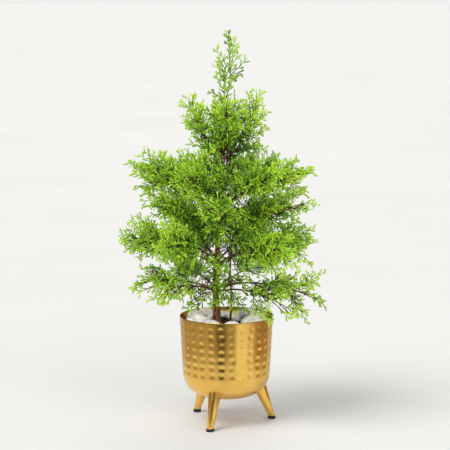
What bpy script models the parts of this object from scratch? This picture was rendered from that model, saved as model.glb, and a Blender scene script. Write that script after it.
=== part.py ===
"""A potted golden cypress: a young conifer with soft scaly sprays, in a round metal planter on three legs.

Blender 4.5, metres, +Z up. The origin is on the surface that the planter stands on, below the middle of
the crown's spread. The front of the plant faces -Y. Run it from Blender's text editor, or with
blender --background --python part.py

Each limb follows one smooth course from the trunk to its furthest tip. The inner stretch is a bare bough.
The outer stretch is the stem of a mass of foliage, and its side shoots follow one seeded rule. Here each
shoot is a toothed blade, as flat as the sprays of a cypress are.
"""

import math
import random
from collections import namedtuple

import bmesh
import bpy
import numpy as np
from mathutils import Matrix, Vector

# The planter
POT_AXIS = Vector((0.0075, 0.0, 0.0))
RIM_RADIUS = 0.075
RIM_HEIGHT = 0.174
WALL_FOOT_RADIUS = 0.0704
CORNER_RADIUS = 0.040
POT_BOTTOM = 0.043
SHEET = 0.0012
POT_STEPS = 40
CORNER_STEPS = 5

# The three legs and their pads
LEG_AZIMUTHS = {"front": -110.0, "right": 10.0, "rear": 130.0}
FOOT_CIRCLE = 0.075
LEG_LEAN = math.radians(21.7)
LEG_LENGTH = 0.072
LEG_TOP_RADIUS = 0.0125
LEG_FOOT_RADIUS = 0.0052
LEG_EXTRA = 0.012
LEG_SIDES = 20
PAD_RADIUS = 0.0064
PAD_HEIGHT = 0.0045
PAD_SIDES = 16

# What fills the planter
SOIL_TOP = 0.158
PEBBLE_BED = (0.0258, 0.0705, 0.0022)
PEBBLE_RINGS = ((0.0570, 12, 0.0), (0.0360, 7, 0.35))
PEBBLE_SIZE = (0.0138, 0.0104, 0.0068)
PEBBLE_SIZES = (0.93, 1.06)
PEBBLE_STRAY = 0.001
PEBBLE_TURN_STRAY = 0.04
PEBBLE_TWIST = 0.25
PEBBLE_LEAN = 0.16
PEBBLE_SIDES = (7, 4)

# Touching solids keep this gap, and foliage keeps the wider one to what isn't its own
CLEAR = 0.0003
LEAF_CLEAR = 0.0012

# The trunk and the thin second stem: points of their centre lines from the planter's axis
TRUNK_COURSE = (
    (-0.0150, 0.0000, SOIL_TOP + CLEAR),
    (-0.0152, 0.0000, 0.170),
    (-0.0172, 0.0005, 0.210),
    (-0.0170, 0.0015, 0.250),
    (-0.0122, 0.0020, 0.296),
    (-0.0088, 0.0010, 0.357),
    (-0.0055, -0.0010, 0.420),
    (-0.0025, -0.0010, 0.476),
    (-0.0010, 0.0000, 0.512),
)
TRUNK_RADII = (0.0060, 0.0014)
TRUNK_TAPER = 0.85
ROOT_FLARE = (0.0032, 0.009)
SECOND_COURSE = (
    (0.0062, -0.0085, SOIL_TOP + CLEAR),
    (0.0064, -0.0086, 0.166),
    (0.0082, -0.0095, 0.209),
    (0.0060, -0.0120, 0.250),
    (0.0085, -0.0150, 0.282),
)
SECOND_RADII = (0.0021, 0.0013)
STEM_STATIONS = 14
CURVE_STEPS = 8

# Tiers of limbs, from the top down: the height of the roots on the trunk and of the tips, the tips' reach
# from the planter's axis to the left, to the right and to the other sides, the rise at the root and at the
# tip in degrees, the longest shoot, the turn of the first limb, whether the inner stretch is a bare bough,
# and the rise that its shoots turn towards. Azimuth 0 points to +X, and -90 to the front.
Tier = namedtuple("Tier", "root tip reaches rises shoot turn bare goal")
TIERS = {
    "upper": Tier(0.430, 0.522, (0.060, 0.054, 0.054), (30, 60), 0.050, 0.0, False, 64.0),
    "shoulder": Tier(0.350, 0.414, (0.152, 0.135, 0.146), (38, 22), 0.070, 0.0, True, 48.0),
    "flank": Tier(0.306, 0.366, (0.150, 0.140, 0.152), (34, 12), 0.068, 30.0, False, 30.0),
    "middle": Tier(0.263, 0.298, (0.172, 0.140, 0.172), (28, -6), 0.070, 0.0, True, 8.0),
    "skirt": Tier(0.216, 0.226, (0.146, 0.161, 0.158), (20, -20), 0.062, 0.0, True, -4.0),
}
ROUND = ("right", "rear_right", "rear_left", "left", "front_left", "front_right")
SIDES = {"upper": ("right", "back", "left", "front")}
# What the photo shows of single tips: their turn in degrees and their rise
TIP_SHIFTS = {
    "upper_right": (0.0, 0.008),
    "skirt_right": (-3.0, -0.028),
    "skirt_left": (4.0, -0.002),
    "skirt_front_right": (16.0, -0.030),
    "skirt_front_left": (-10.0, -0.004),
}
HEIGHT_JITTER = 0.005
TURN_JITTER = 5.0
BOUGH_SHARE = 0.25
COLLAR = 0.002
BOUGH_RADII = (0.0021, 0.0014)
TWIG_RADII = (0.0014, 0.0008)
LIMB_STATIONS = 12
BOUGH_STATIONS = 4
TWIG_STATIONS = 5
STEM_END = 0.84
SAMPLES = 100

# The leader on the trunk's top: points of its line above its foot. Then the tuft on the second stem: its
# top, and the pulls on its curve.
LEADER_COURSE = ((0.0045, 0.0, 0.543), (0.0112, 0.0, 0.570), (0.0134, 0.0, 0.600), (0.0096, 0.0, 0.629))
LEADER_SHOOT, LEADER_SHOOTS, LEADER_GOAL = 0.044, 11, 80.0
TUFT_TOP = Vector((0.026, -0.048, 0.338))
TUFT_PULLS = (Vector((0.0, -0.004, 0.024)), Vector((-0.004, 0.012, -0.016)))
TUFT_SHOOT, TUFT_SHOOTS, TUFT_GOAL = 0.040, 6, 50.0
TOP_STATIONS = 7

# The shoot rule: side shoots turn round their stem by the golden angle, and the last one ends the limb
SHOOTS = 7
SHOOT_SPAN = (0.04, 0.92)
LAST_ROOT = 0.97
GOLDEN_ANGLE = math.radians(137.5)
TURN_STRAY = 0.25
FORK_ANGLES = (78.0, 28.0)
PULL = 0.6
SHOOT_BASE = 0.55
SHOOT_SWELL = 1.25
SHOOT_SIZES = (0.88, 1.08)
ROLLS = (0.6, 0.4)
SHORTER = (1.0, 0.8)

# The toothed blade, one unit long: its rib, and the teeth and notches of one side
BLADE_RIB = (-0.02, 0.08, 0.55, 1.0)
BLADE_INNER_TEETH = ((0.22, 0.28), (0.34, 0.12))
BLADE_OUTER_TEETH = ((0.52, 0.42), (0.62, 0.14), (0.84, 0.33))
BLADE_WIDTH = 0.94
BLADE_THICKNESS = 0.0016
SEED = 41


def clear_scene():
    for found in list(bpy.data.objects):
        bpy.data.objects.remove(found, do_unlink=True)


def collection(name):
    made = bpy.data.collections.new(name)
    bpy.context.scene.collection.children.link(made)
    return made


def material(name, colour, roughness, metallic=0.0):
    made = bpy.data.materials.new(name)
    made.use_nodes = True
    surface = made.node_tree.nodes["Principled BSDF"]
    surface.inputs["Base Color"].default_value = (*colour, 1.0)
    surface.inputs["Roughness"].default_value = roughness
    surface.inputs["Metallic"].default_value = metallic
    made.diffuse_color = (*colour, 1.0)
    return made


def placed(name, mesh, look, home, location=(0.0, 0.0, 0.0)):
    made = bpy.data.objects.new(name, mesh)
    made.location = location
    made.data.materials.clear()
    made.data.materials.append(look)
    home.objects.link(made)
    return made


def smooth(obj, angle=40.0):
    obj.data.shade_smooth()
    obj.data.set_sharp_from_angle(angle=math.radians(angle))


def evaluated_mesh(obj):
    """The mesh of a curve, or of an object with modifiers, with the doubles of a curve's caps welded."""
    bpy.context.view_layer.update()
    graph = bpy.context.evaluated_depsgraph_get()
    mesh = bpy.data.meshes.new_from_object(obj.evaluated_get(graph))
    shape = bmesh.new()
    shape.from_mesh(mesh)
    bmesh.ops.remove_doubles(shape, verts=shape.verts, dist=1e-6)
    shape.to_mesh(mesh)
    shape.free()
    return mesh


def boolean(obj, operation, other):
    """Cuts or joins with an object or a collection, and applies it."""
    made = obj.modifiers.new(operation.lower(), "BOOLEAN")
    made.operation = operation
    made.solver = "EXACT"
    if isinstance(other, bpy.types.Collection):
        made.operand_type = "COLLECTION"
        made.collection = other
    else:
        made.object = other
    obj.data = evaluated_mesh(obj)
    obj.modifiers.clear()


def turned(name, profile, look, home, steps, keep_modifier=True, ring=False):
    """A profile of (radius, height) points that runs down its outer side. A ring's profile is closed."""
    mesh = bpy.data.meshes.new(name)
    edges = [(i, i + 1) for i in range(len(profile) - 1)]
    if ring:
        edges.append((len(profile) - 1, 0))
    mesh.from_pydata([(r, 0.0, z) for r, z in profile], edges, [])
    made = placed(name, mesh, look, home, POT_AXIS)
    screw = made.modifiers.new("turn", "SCREW")
    screw.steps = steps
    screw.render_steps = steps
    screw.use_merge_vertices = True
    screw.merge_threshold = 0.00001
    screw.use_smooth_shade = True
    if not keep_modifier:
        made.data = evaluated_mesh(made)
        made.modifiers.clear()
    return made


def pot_side(inset, top):
    """The planter's outer side from its bottom's centre to a height, moved inwards by inset."""
    wall_radius = WALL_FOOT_RADIUS - inset
    corner = CORNER_RADIUS - inset
    centre_radius = WALL_FOOT_RADIUS - CORNER_RADIUS
    centre_height = POT_BOTTOM + CORNER_RADIUS
    slope = (RIM_RADIUS - WALL_FOOT_RADIUS) / (RIM_HEIGHT - centre_height)
    points = [(0.0, POT_BOTTOM + inset)]
    for step in range(CORNER_STEPS + 1):
        turn = 0.5 * math.pi * step / CORNER_STEPS
        points.append((centre_radius + corner * math.sin(turn), centre_height - corner * math.cos(turn)))
    points.append((wall_radius + slope * (top - centre_height), top))
    return points


def make_pot(looks, home):
    inner = pot_side(SHEET, RIM_HEIGHT)
    outer = pot_side(0.0, RIM_HEIGHT)
    return turned("planter_pot", inner + outer[::-1], looks["gold"], home, POT_STEPS)


def make_soil(looks, home):
    side = pot_side(SHEET + CLEAR, SOIL_TOP)
    return turned("soil", [(0.0, SOIL_TOP)] + side[::-1], looks["soil"], home, POT_STEPS // 2)


def make_legs(looks, home, cutters):
    """Tapered legs that lean outwards, cut to the curve of the planter's underside, each on its pad."""
    form = turned("pot_form", [(0.0, RIM_HEIGHT)] + pot_side(-CLEAR, RIM_HEIGHT)[::-1], looks["gold"],
                  cutters, POT_STEPS, keep_modifier=False)
    below = PAD_HEIGHT + CLEAR
    size = 4 * RIM_RADIUS
    bpy.ops.mesh.primitive_cube_add(size=size, location=(*POT_AXIS.xy, below - size / 2))
    ground = bpy.context.object
    ground.name = "pad_level"
    for cutter in (form, ground):
        cutter.hide_render = True
        cutter.display_type = "WIRE"
    for where, azimuth in LEG_AZIMUTHS.items():
        outward = Vector((math.cos(math.radians(azimuth)), math.sin(math.radians(azimuth)), 0.0))
        foot = POT_AXIS + outward * FOOT_CIRCLE
        along = (Vector((0.0, 0.0, math.cos(LEG_LEAN))) - outward * math.sin(LEG_LEAN)).normalized()
        grow = (LEG_TOP_RADIUS - LEG_FOOT_RADIUS) / LEG_LENGTH
        bpy.ops.mesh.primitive_cone_add(
            vertices=LEG_SIDES,
            radius1=LEG_FOOT_RADIUS - grow * LEG_EXTRA,
            radius2=LEG_TOP_RADIUS,
            depth=LEG_LENGTH + LEG_EXTRA,
            location=foot + Vector((0.0, 0.0, below)) + along * (LEG_LENGTH - LEG_EXTRA) / 2,
            rotation=along.to_track_quat("Z", "Y").to_euler(),
        )
        leg = bpy.context.object
        leg.name = f"leg_{where}"
        adopt(leg, home, looks["gold"])
        boolean(leg, "DIFFERENCE", form)
        boolean(leg, "DIFFERENCE", ground)
        smooth(leg)
        bpy.ops.mesh.primitive_cylinder_add(
            vertices=PAD_SIDES, radius=PAD_RADIUS, depth=PAD_HEIGHT,
            location=foot + Vector((0.0, 0.0, PAD_HEIGHT / 2)),
        )
        pad = bpy.context.object
        pad.name = f"pad_{where}"
        adopt(pad, home, looks["rubber"])
        smooth(pad)
    for cutter in (form, ground):
        bpy.data.objects.remove(cutter)


def adopt(obj, home, look):
    """Moves a new primitive to its collection and gives it its material."""
    for old in list(obj.users_collection):
        old.objects.unlink(obj)
    home.objects.link(obj)
    obj.data.materials.clear()
    obj.data.materials.append(look)


def smooth_course(points, stations):
    """Evenly spaced points on the Catmull-Rom curve through the given ones."""
    points = [Vector(p) for p in points]
    ends = [points[0] * 2 - points[1]] + points + [points[-1] * 2 - points[-2]]
    fine = []
    for i in range(1, len(ends) - 2):
        a, b, c, d = ends[i - 1:i + 3]
        for step in range(CURVE_STEPS):
            t = step / CURVE_STEPS
            fine.append(0.5 * (2 * b + (c - a) * t + (2 * a - 5 * b + 4 * c - d) * t ** 2
                               + (3 * b - a - 3 * c + d) * t ** 3))
    fine.append(points[-1])
    return spaced(fine, stations)


def spaced(line, stations):
    """That many points along a line, evenly spaced."""
    steps = [(b - a).length for a, b in zip(line, line[1:])]
    reached = np.concatenate([[0.0], np.cumsum(steps)])
    wanted = np.linspace(0.0, reached[-1], stations)
    rows = np.array([tuple(p) for p in line])
    return [Vector([float(np.interp(w, reached, rows[:, k])) for k in range(3)]) for w in wanted]


def bezier(a, b, c, d, stations):
    line = []
    for step in range(stations):
        t = step / (stations - 1)
        line.append(a * (1 - t) ** 3 + b * 3 * t * (1 - t) ** 2 + c * 3 * t * t * (1 - t) + d * t ** 3)
    return line


def tube(name, course, radii, look, home, bevel_resolution):
    """A round limb along a line, with a radius for each of its points and filled ends."""
    curve = bpy.data.curves.new(name, "CURVE")
    curve.dimensions = "3D"
    curve.bevel_depth = 1.0
    curve.bevel_resolution = bevel_resolution
    curve.use_fill_caps = True
    spline = curve.splines.new("POLY")
    spline.points.add(len(course) - 1)
    for point, place, radius in zip(spline.points, course, radii):
        point.co = (*place, 1.0)
        point.radius = radius
    made = bpy.data.objects.new(name, curve)
    home.objects.link(made)
    curve.materials.append(look)
    return made


def tapered(radii, stations, power=1.0):
    start, end = radii
    return [end + (start - end) * (1 - i / (stations - 1)) ** power for i in range(stations)]


def trunk_parts():
    """Centre lines and radii of the trunk and of the second stem."""
    trunk = [POT_AXIS + p for p in smooth_course(TRUNK_COURSE[1:], STEM_STATIONS)]
    trunk.insert(0, POT_AXIS + Vector(TRUNK_COURSE[0]))
    trunk[0].xy = trunk[1].xy
    radii = tapered(TRUNK_RADII, len(trunk), TRUNK_TAPER)
    swell, height = ROOT_FLARE
    radii = [r + swell * math.exp(-(p.z - trunk[0].z) / height) for r, p in zip(radii, trunk)]
    second = [POT_AXIS + p for p in smooth_course(SECOND_COURSE[1:], STEM_STATIONS // 2)]
    second.insert(0, POT_AXIS + Vector(SECOND_COURSE[0]))
    second[0].xy = second[1].xy
    return (trunk, radii), (second, tapered(SECOND_RADII, len(second)))


def at_height(course, radii, height):
    """The centre and the radius of an upright stem at a height."""
    heights = [p.z for p in course]
    centre = Vector([float(np.interp(height, heights, [p[k] for p in course])) for k in range(3)])
    return centre, float(np.interp(height, heights, radii))


def direction(azimuth, rise):
    azimuth, rise = math.radians(azimuth), math.radians(rise)
    level = math.cos(rise)
    return Vector((math.cos(azimuth) * level, math.sin(azimuth) * level, math.sin(rise)))


Limb = namedtuple("Limb", "name tier azimuth root tip reach")


def limb_plans():
    """Every limb: its name and tier, its azimuth, the heights of its root and tip, and its reach."""
    rule = random.Random(SEED)
    plans = []
    for name, tier in TIERS.items():
        sides = SIDES.get(name, ROUND)
        for i, side in enumerate(sides):
            azimuth = 360.0 * i / len(sides) + tier.turn + rule.uniform(-TURN_JITTER, TURN_JITTER)
            reach = tier.reaches[{"left": 0, "right": 1}.get(side, 2)]
            swing, drop = TIP_SHIFTS.get(f"{name}_{side}", (0.0, 0.0))
            root = tier.root + rule.uniform(-HEIGHT_JITTER, HEIGHT_JITTER)
            tip = tier.tip + drop + rule.uniform(-HEIGHT_JITTER, HEIGHT_JITTER)
            plans.append(Limb(f"{name}_{side}", tier, azimuth + swing, root, tip, reach))
    return plans


def limb_course(trunk, limb):
    """The line of one limb, from just clear of the bark to its furthest tip. It leaves the trunk level."""
    centre, radius = at_height(*trunk, limb.root)
    tip = POT_AXIS + direction(limb.azimuth, 0.0) * limb.reach
    tip.z = limb.tip
    outward = tip - centre
    outward.z = 0.0
    outward.normalize()
    heading = math.degrees(math.atan2(outward.y, outward.x))
    root = centre + outward * (radius + CLEAR)
    collar = root + outward * COLLAR
    third = (tip - collar).length / 3
    inner = collar + direction(heading, limb.tier.rises[0]) * third
    outer = tip - direction(heading, limb.tier.rises[1]) * third
    return [root] + spaced(bezier(collar, inner, outer, tip, 4 * LIMB_STATIONS), LIMB_STATIONS)


def length_of(line):
    return sum((b - a).length for a, b in zip(line, line[1:]))


def along(course, share):
    """The point at a share of a line's length, and the line's direction there."""
    fine = spaced(course, SAMPLES + 1)
    index = min(int(share * SAMPLES), SAMPLES - 1)
    a, b = fine[index], fine[index + 1]
    return a.lerp(b, share * SAMPLES - index), (b - a).normalized()


def stretch(course, start, end, stations):
    """The part of a line between two shares of its length. At the line's root, it keeps the collar."""
    found = [along(course, start + (end - start) * i / (stations - 1))[0] for i in range(stations)]
    if start == 0.0:
        found.insert(1, course[1])
    return found


class Space:
    """Who owns which place: a point belongs to the limb whose bark is nearest."""

    def __init__(self):
        self.starts, self.runs, self.radii, self.owners = [], [], [], []

    def add(self, owner, course, radii):
        for a, b, r in zip(course, course[1:], radii):
            self.starts.append(tuple(a))
            self.runs.append(tuple(b - a))
            self.radii.append(r)
            self.owners.append(owner)

    def margin(self, owner, points):
        """How much nearer the points are to their own limb than to any other, and to the others alone."""
        starts, runs = np.array(self.starts), np.array(self.runs)
        places = np.array([tuple(p) for p in points])
        offset = places[:, None, :] - starts[None, :, :]
        share = np.clip((offset * runs).sum(2) / (runs * runs).sum(1), 0.0, 1.0)
        gap = np.linalg.norm(offset - share[:, :, None] * runs, axis=2) - np.array(self.radii)
        own = np.array([o == owner for o in self.owners])
        other = gap[:, ~own].min(axis=1)
        return float((other - gap[:, own].min(axis=1)).min()), float(other.min())


def clears_planter(points):
    """Whether every point is above the rim or outside the planter's wall."""
    return all(p.z > RIM_HEIGHT + LEAF_CLEAR or (p - POT_AXIS).xy.length > RIM_RADIUS + LEAF_CLEAR
               for p in points)


def drawn(trunk, way, place, goal):
    """A direction, turned towards the way that its tier grows: outwards from the trunk, at its rise."""
    outward = place - at_height(*trunk, place.z)[0]
    outward.z = 0.0
    level = (outward.normalized() if outward.length > CLEAR else way) * math.cos(math.radians(goal))
    return (way + (level + Vector((0.0, 0.0, math.sin(math.radians(goal))))) * PULL).normalized()


def shoots(trunk, name, stem, tip, longest, count, goal):
    """The shoot rule: (root, direction, roll of its flat side, length) for each shoot of a mass's stem."""
    rule = random.Random(f"{name} {SEED}")
    turn = rule.uniform(0.0, 2 * math.pi)
    first, last = SHOOT_SPAN
    found = []
    for i in range(count):
        share = (i + 0.5) / count
        place, heading = along(stem, first + (last - first) * share)
        turn += GOLDEN_ANGLE + rule.uniform(-TURN_STRAY, TURN_STRAY)
        side = Matrix.Rotation(turn, 3, heading) @ heading.orthogonal().normalized()
        fork = math.radians(FORK_ANGLES[0] + (FORK_ANGLES[1] - FORK_ANGLES[0]) * share)
        way = heading * math.cos(fork) + side * math.sin(fork)
        way = drawn(trunk, way, place + heading * longest / 2, goal)
        swell = math.sin(math.pi * min(1.0, share * SHOOT_SWELL))
        length = longest * (SHOOT_BASE + (1.0 - SHOOT_BASE) * swell) * rule.uniform(*SHOOT_SIZES)
        found.append((place, way, rule.gauss(0.0, ROLLS[0]), length))
    place = along(stem, LAST_ROOT)[0]
    found.append((place, (tip - place).normalized(), rule.gauss(0.0, ROLLS[1]), (tip - place).length))
    return found


def blade_mesh():
    """A toothed spray one unit long, wide and thick, along +X: it thins from its rib to its outline."""
    shape = bmesh.new()
    root, inner, outer, tip = BLADE_RIB
    ends = [shape.verts.new((x, 0.0, 0.0)) for x in (root, tip)]
    ribs = [[shape.verts.new((x, 0.0, z)) for x in (inner, outer)] for z in (0.5, -0.5)]
    for side in (1.0, -1.0):
        near = [shape.verts.new((x, side * y, 0.0)) for x, y in BLADE_INNER_TEETH]
        far = [shape.verts.new((x, side * y, 0.0)) for x, y in BLADE_OUTER_TEETH]
        for rib in ribs:
            shape.faces.new((near[-1], *rib))
            for middle, edge in ((rib[0], [ends[0], *near]), (rib[1], [near[-1], *far, ends[1]])):
                for a, b in zip(edge, edge[1:]):
                    shape.faces.new((middle, a, b))
    bmesh.ops.recalc_face_normals(shape, faces=shape.faces)
    mesh = bpy.data.meshes.new("blade")
    shape.to_mesh(mesh)
    shape.free()
    return mesh


def blade_frame(place, way, roll, length):
    """The matrix that lays the unit blade along a shoot. At roll 0 its flat side stands upright."""
    across = way.cross(Vector((0.0, 0.0, 1.0)))
    if across.length < 0.1:
        across = way.orthogonal()
    across.normalize()
    upright = Matrix.Rotation(roll, 3, way) @ across.cross(way)
    normal = way.cross(upright)
    turn = Matrix((way, upright, normal)).transposed()
    size = Matrix.Diagonal((length, length * BLADE_WIDTH, BLADE_THICKNESS))
    return Matrix.Translation(place) @ (turn @ size).to_4x4()


def joined_with(body, parts):
    """Fuses a collection's objects on a body, and removes them."""
    boolean(body, "UNION", parts)
    for part in list(parts.objects):
        bpy.data.objects.remove(part)
    bpy.data.collections.remove(parts)


def make_mass(name, stem, found, blade, space, looks, home):
    """One mass: a stem with its shoots fused on, each made shorter or left out where it has no room."""
    line = tube(name, stem, tapered(TWIG_RADII, len(stem)), looks["foliage"], home, 0)
    mesh = evaluated_mesh(line)
    bpy.data.objects.remove(line)
    body = placed(name, mesh, looks["foliage"], home)
    sprays = collection(name + "_sprays")
    for place, way, roll, length in found:
        for shorter in SHORTER:
            frame = blade_frame(place, way, roll, length * shorter)
            corners = [frame @ v.co for v in blade.vertices]
            edge = corners + [a.lerp(b, 0.5) for a, b in zip(corners, corners[1:])]
            if min(space.margin(name, edge)) > LEAF_CLEAR and clears_planter(edge):
                spray = placed("spray", blade.copy(), looks["foliage"], sprays)
                spray.data.transform(frame)
                break
    joined_with(body, sprays)


def make_tree(looks, home):
    trunk, second = trunk_parts()
    tube("trunk", *trunk, looks["bark"], home, 3)
    tube("second_stem", *second, looks["bark"], home, 2)
    space = Space()
    space.add("trunk", *trunk)
    space.add("second_stem", *second)
    courses = {}
    plans = limb_plans()
    for limb in plans:
        courses[limb.name] = limb_course(trunk, limb)
        radii = tapered((BOUGH_RADII[0], TWIG_RADII[1]), len(courses[limb.name]))
        space.add(limb.name, courses[limb.name], radii)
    rise = Vector((0.0, 0.0, CLEAR))
    top, crest = trunk[0][-1], second[0][-1]
    leader = smooth_course([top + rise, *LEADER_COURSE], TOP_STATIONS)
    tuft = bezier(crest + rise, crest + TUFT_PULLS[0], TUFT_TOP + TUFT_PULLS[1], TUFT_TOP, 4 * TOP_STATIONS)
    tuft = spaced(tuft, TOP_STATIONS)
    space.add("leader", leader, tapered(TWIG_RADII, len(leader)))
    space.add("second_tuft", tuft, tapered(TWIG_RADII, len(tuft)))
    blade = blade_mesh()
    for limb in plans:
        course = courses[limb.name]
        start = 0.0
        if limb.tier.bare:
            bough = stretch(course, 0.0, BOUGH_SHARE, BOUGH_STATIONS)
            tube("bough_" + limb.name, bough, tapered(BOUGH_RADII, len(bough)), looks["bark"], home, 1)
            start = BOUGH_SHARE + CLEAR / length_of(course)
        stem = stretch(course, start, STEM_END, TWIG_STATIONS)
        found = shoots(trunk, limb.name, stem, course[-1], limb.tier.shoot, SHOOTS, limb.tier.goal)
        make_mass(limb.name, stem, found, blade, space, looks, home)
    tops = (("leader", leader, LEADER_SHOOT, LEADER_SHOOTS, LEADER_GOAL),
            ("second_tuft", tuft, TUFT_SHOOT, TUFT_SHOOTS, TUFT_GOAL))
    for name, course, *sizes in tops:
        stem = stretch(course, 0.0, STEM_END, TWIG_STATIONS)
        make_mass(name, stem, shoots(trunk, name, stem, course[-1], *sizes), blade, space, looks, home)
    return trunk, second


def make_pebbles(looks, home, trunk, second):
    """Round white stones on the soil, joined by the thin layer that they sit in, clear of both stems."""
    rule = random.Random(SEED)
    inner, outer, depth = PEBBLE_BED
    low, high = SOIL_TOP + CLEAR, SOIL_TOP + CLEAR + depth
    bed = turned("pebbles", [(outer, high), (outer, low), (inner, low), (inner, high)], looks["pebble"], home,
                 POT_STEPS // 2, keep_modifier=False, ring=True)
    layer = collection("pebble_stones")
    stems = [(trunk[0][0], trunk[1][0]), (second[0][0], second[1][0])]
    segments, rings = PEBBLE_SIDES
    for radius, count, offset in PEBBLE_RINGS:
        for i in range(count):
            turn = 2 * math.pi * (i + offset) / count + rule.uniform(-PEBBLE_TURN_STRAY, PEBBLE_TURN_STRAY)
            outward = Vector((math.cos(turn), math.sin(turn), 0.0))
            place = outward * (radius + rule.uniform(-PEBBLE_STRAY, PEBBLE_STRAY))
            size = Vector(PEBBLE_SIZE) * rule.uniform(*PEBBLE_SIZES)
            twist = turn + math.pi / 2 + rule.uniform(-PEBBLE_TWIST, PEBBLE_TWIST)
            lean = rule.uniform(-PEBBLE_LEAN, PEBBLE_LEAN)
            if any((POT_AXIS + place - stem).xy.length < size.x + thick for stem, thick in stems):
                continue
            place.z = low + CLEAR + math.hypot(size.z * math.cos(lean), size.x * math.sin(lean))
            bpy.ops.mesh.primitive_uv_sphere_add(segments=segments, ring_count=rings, radius=1.0)
            stone = bpy.context.object
            adopt(stone, layer, looks["pebble"])
            laid = Matrix.Rotation(twist, 4, "Z") @ Matrix.Rotation(lean, 4, "Y")
            stone.data.transform(Matrix.Translation(place) @ laid @ Matrix.Diagonal((*size, 1.0)))
            stone.location = POT_AXIS
    joined_with(bed, layer)
    smooth(bed)


def main():
    clear_scene()
    home = collection("potted_cypress")
    cutters = collection("cutters")
    looks = {
        "gold": material("gold_metal", (0.83, 0.60, 0.22), 0.28, 1.0),
        "rubber": material("pad_rubber", (0.03, 0.03, 0.035), 0.6),
        "soil": material("soil", (0.09, 0.055, 0.035), 0.95),
        "pebble": material("pebble", (0.86, 0.85, 0.82), 0.6),
        "bark": material("bark", (0.24, 0.14, 0.085), 0.85),
        "foliage": material("foliage", (0.30, 0.52, 0.05), 0.55),
    }
    make_pot(looks, home)
    make_soil(looks, home)
    make_legs(looks, home, cutters)
    trunk, second = make_tree(looks, home)
    make_pebbles(looks, home, trunk, second)


main()
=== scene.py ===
# %% [markdown]
# A potted golden cypress
#
# The real thing is a young conifer in a hammered gold planter on three legs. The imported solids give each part
# its size and place. This lesson dresses them: metal with dents, stones, bark, and sprays of scale leaves.
#
# A plant like this could be scattered with particles. Here every shoot is a real mesh instead, because a
# mesh keeps its shape in any program that opens it.

import math
import random
from collections import namedtuple

import bmesh
import bpy
import numpy as np
from mathutils import Matrix, Vector, noise


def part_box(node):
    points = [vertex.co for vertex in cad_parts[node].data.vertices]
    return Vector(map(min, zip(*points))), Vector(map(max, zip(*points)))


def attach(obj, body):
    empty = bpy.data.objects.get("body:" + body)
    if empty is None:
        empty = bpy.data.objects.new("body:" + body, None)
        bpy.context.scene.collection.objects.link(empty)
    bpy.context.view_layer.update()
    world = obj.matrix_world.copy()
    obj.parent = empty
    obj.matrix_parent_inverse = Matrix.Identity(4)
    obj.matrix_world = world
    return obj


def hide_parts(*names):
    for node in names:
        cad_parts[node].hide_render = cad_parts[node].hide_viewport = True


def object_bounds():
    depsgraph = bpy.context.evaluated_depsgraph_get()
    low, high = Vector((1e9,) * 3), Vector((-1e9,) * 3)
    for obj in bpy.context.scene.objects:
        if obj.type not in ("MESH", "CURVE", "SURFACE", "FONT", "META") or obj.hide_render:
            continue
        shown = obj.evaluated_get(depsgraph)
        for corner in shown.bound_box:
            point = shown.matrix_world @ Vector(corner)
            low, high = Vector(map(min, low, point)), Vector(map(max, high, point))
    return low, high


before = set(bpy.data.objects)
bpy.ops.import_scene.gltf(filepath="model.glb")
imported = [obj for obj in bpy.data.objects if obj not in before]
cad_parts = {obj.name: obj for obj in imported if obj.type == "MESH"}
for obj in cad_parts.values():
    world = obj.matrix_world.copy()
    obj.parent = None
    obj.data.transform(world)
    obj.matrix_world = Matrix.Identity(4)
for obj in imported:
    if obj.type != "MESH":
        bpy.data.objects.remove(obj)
solid_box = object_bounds()
print("nodes in the frame:", len(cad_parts))


# %% [markdown]
# The camera
#
# The picture was taken from a little above the plant with a long lens, so upright lines stay nearly parallel.
# A camera could be moved about by eye until it fits. This one is placed by numbers: its distance and height,
# its tilt, and the lens that gives the planter's rim its width in the picture.

# %% Place the camera
CAMERA_PLACE = Vector((0.0053, -2.6, 0.673))
CAMERA_TILT = math.radians(7.73)
LENS = 131.3
SENSOR = 36.0


def add_camera():
    lens = bpy.data.cameras.new("camera")
    lens.lens = LENS
    lens.sensor_width = SENSOR
    lens.clip_end = 2000.0
    made = bpy.data.objects.new("camera", lens)
    made.location = CAMERA_PLACE
    made.rotation_euler = (math.pi / 2 - CAMERA_TILT, 0.0, 0.0)
    bpy.context.scene.collection.objects.link(made)
    bpy.context.scene.camera = made


add_camera()
print("camera tilts down by", round(math.degrees(CAMERA_TILT), 2), "degrees")


# %% [markdown]
# Small helpers for modelling
#
# Blender's operators act on whatever is selected, and the solids come in selected. So each step first
# deselects everything and then picks its own object, or its own points by their place.
#
# A turned shape starts as a plane merged to one point. Extruding that point along the profile draws the
# outline, as a pencil would, and Spin turns it round the axis. A Screw modifier would do the same. Spin is
# used because the result is plain geometry at once.

# %% Selecting and drawing
WELD = 1e-5


def only(obj):
    bpy.ops.object.select_all(action="DESELECT")
    obj.select_set(True)
    bpy.context.view_layer.objects.active = obj
    return obj


def pick(obj, test):
    """In edit mode, selects the points whose place passes a test, and the faces between them."""
    bpy.ops.mesh.select_mode(type="VERT")
    bpy.ops.mesh.select_all(action="DESELECT")
    shape = bmesh.from_edit_mesh(obj.data)
    for point in shape.verts:
        if test(point.co):
            point.select = True
    shape.select_flush(True)
    bmesh.update_edit_mesh(obj.data)


def settle(obj):
    """Puts an object's place, turn and size into its mesh, so that the object sits at the origin."""
    only(obj)
    bpy.ops.object.transform_apply(location=True, rotation=True, scale=True)
    return obj


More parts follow.
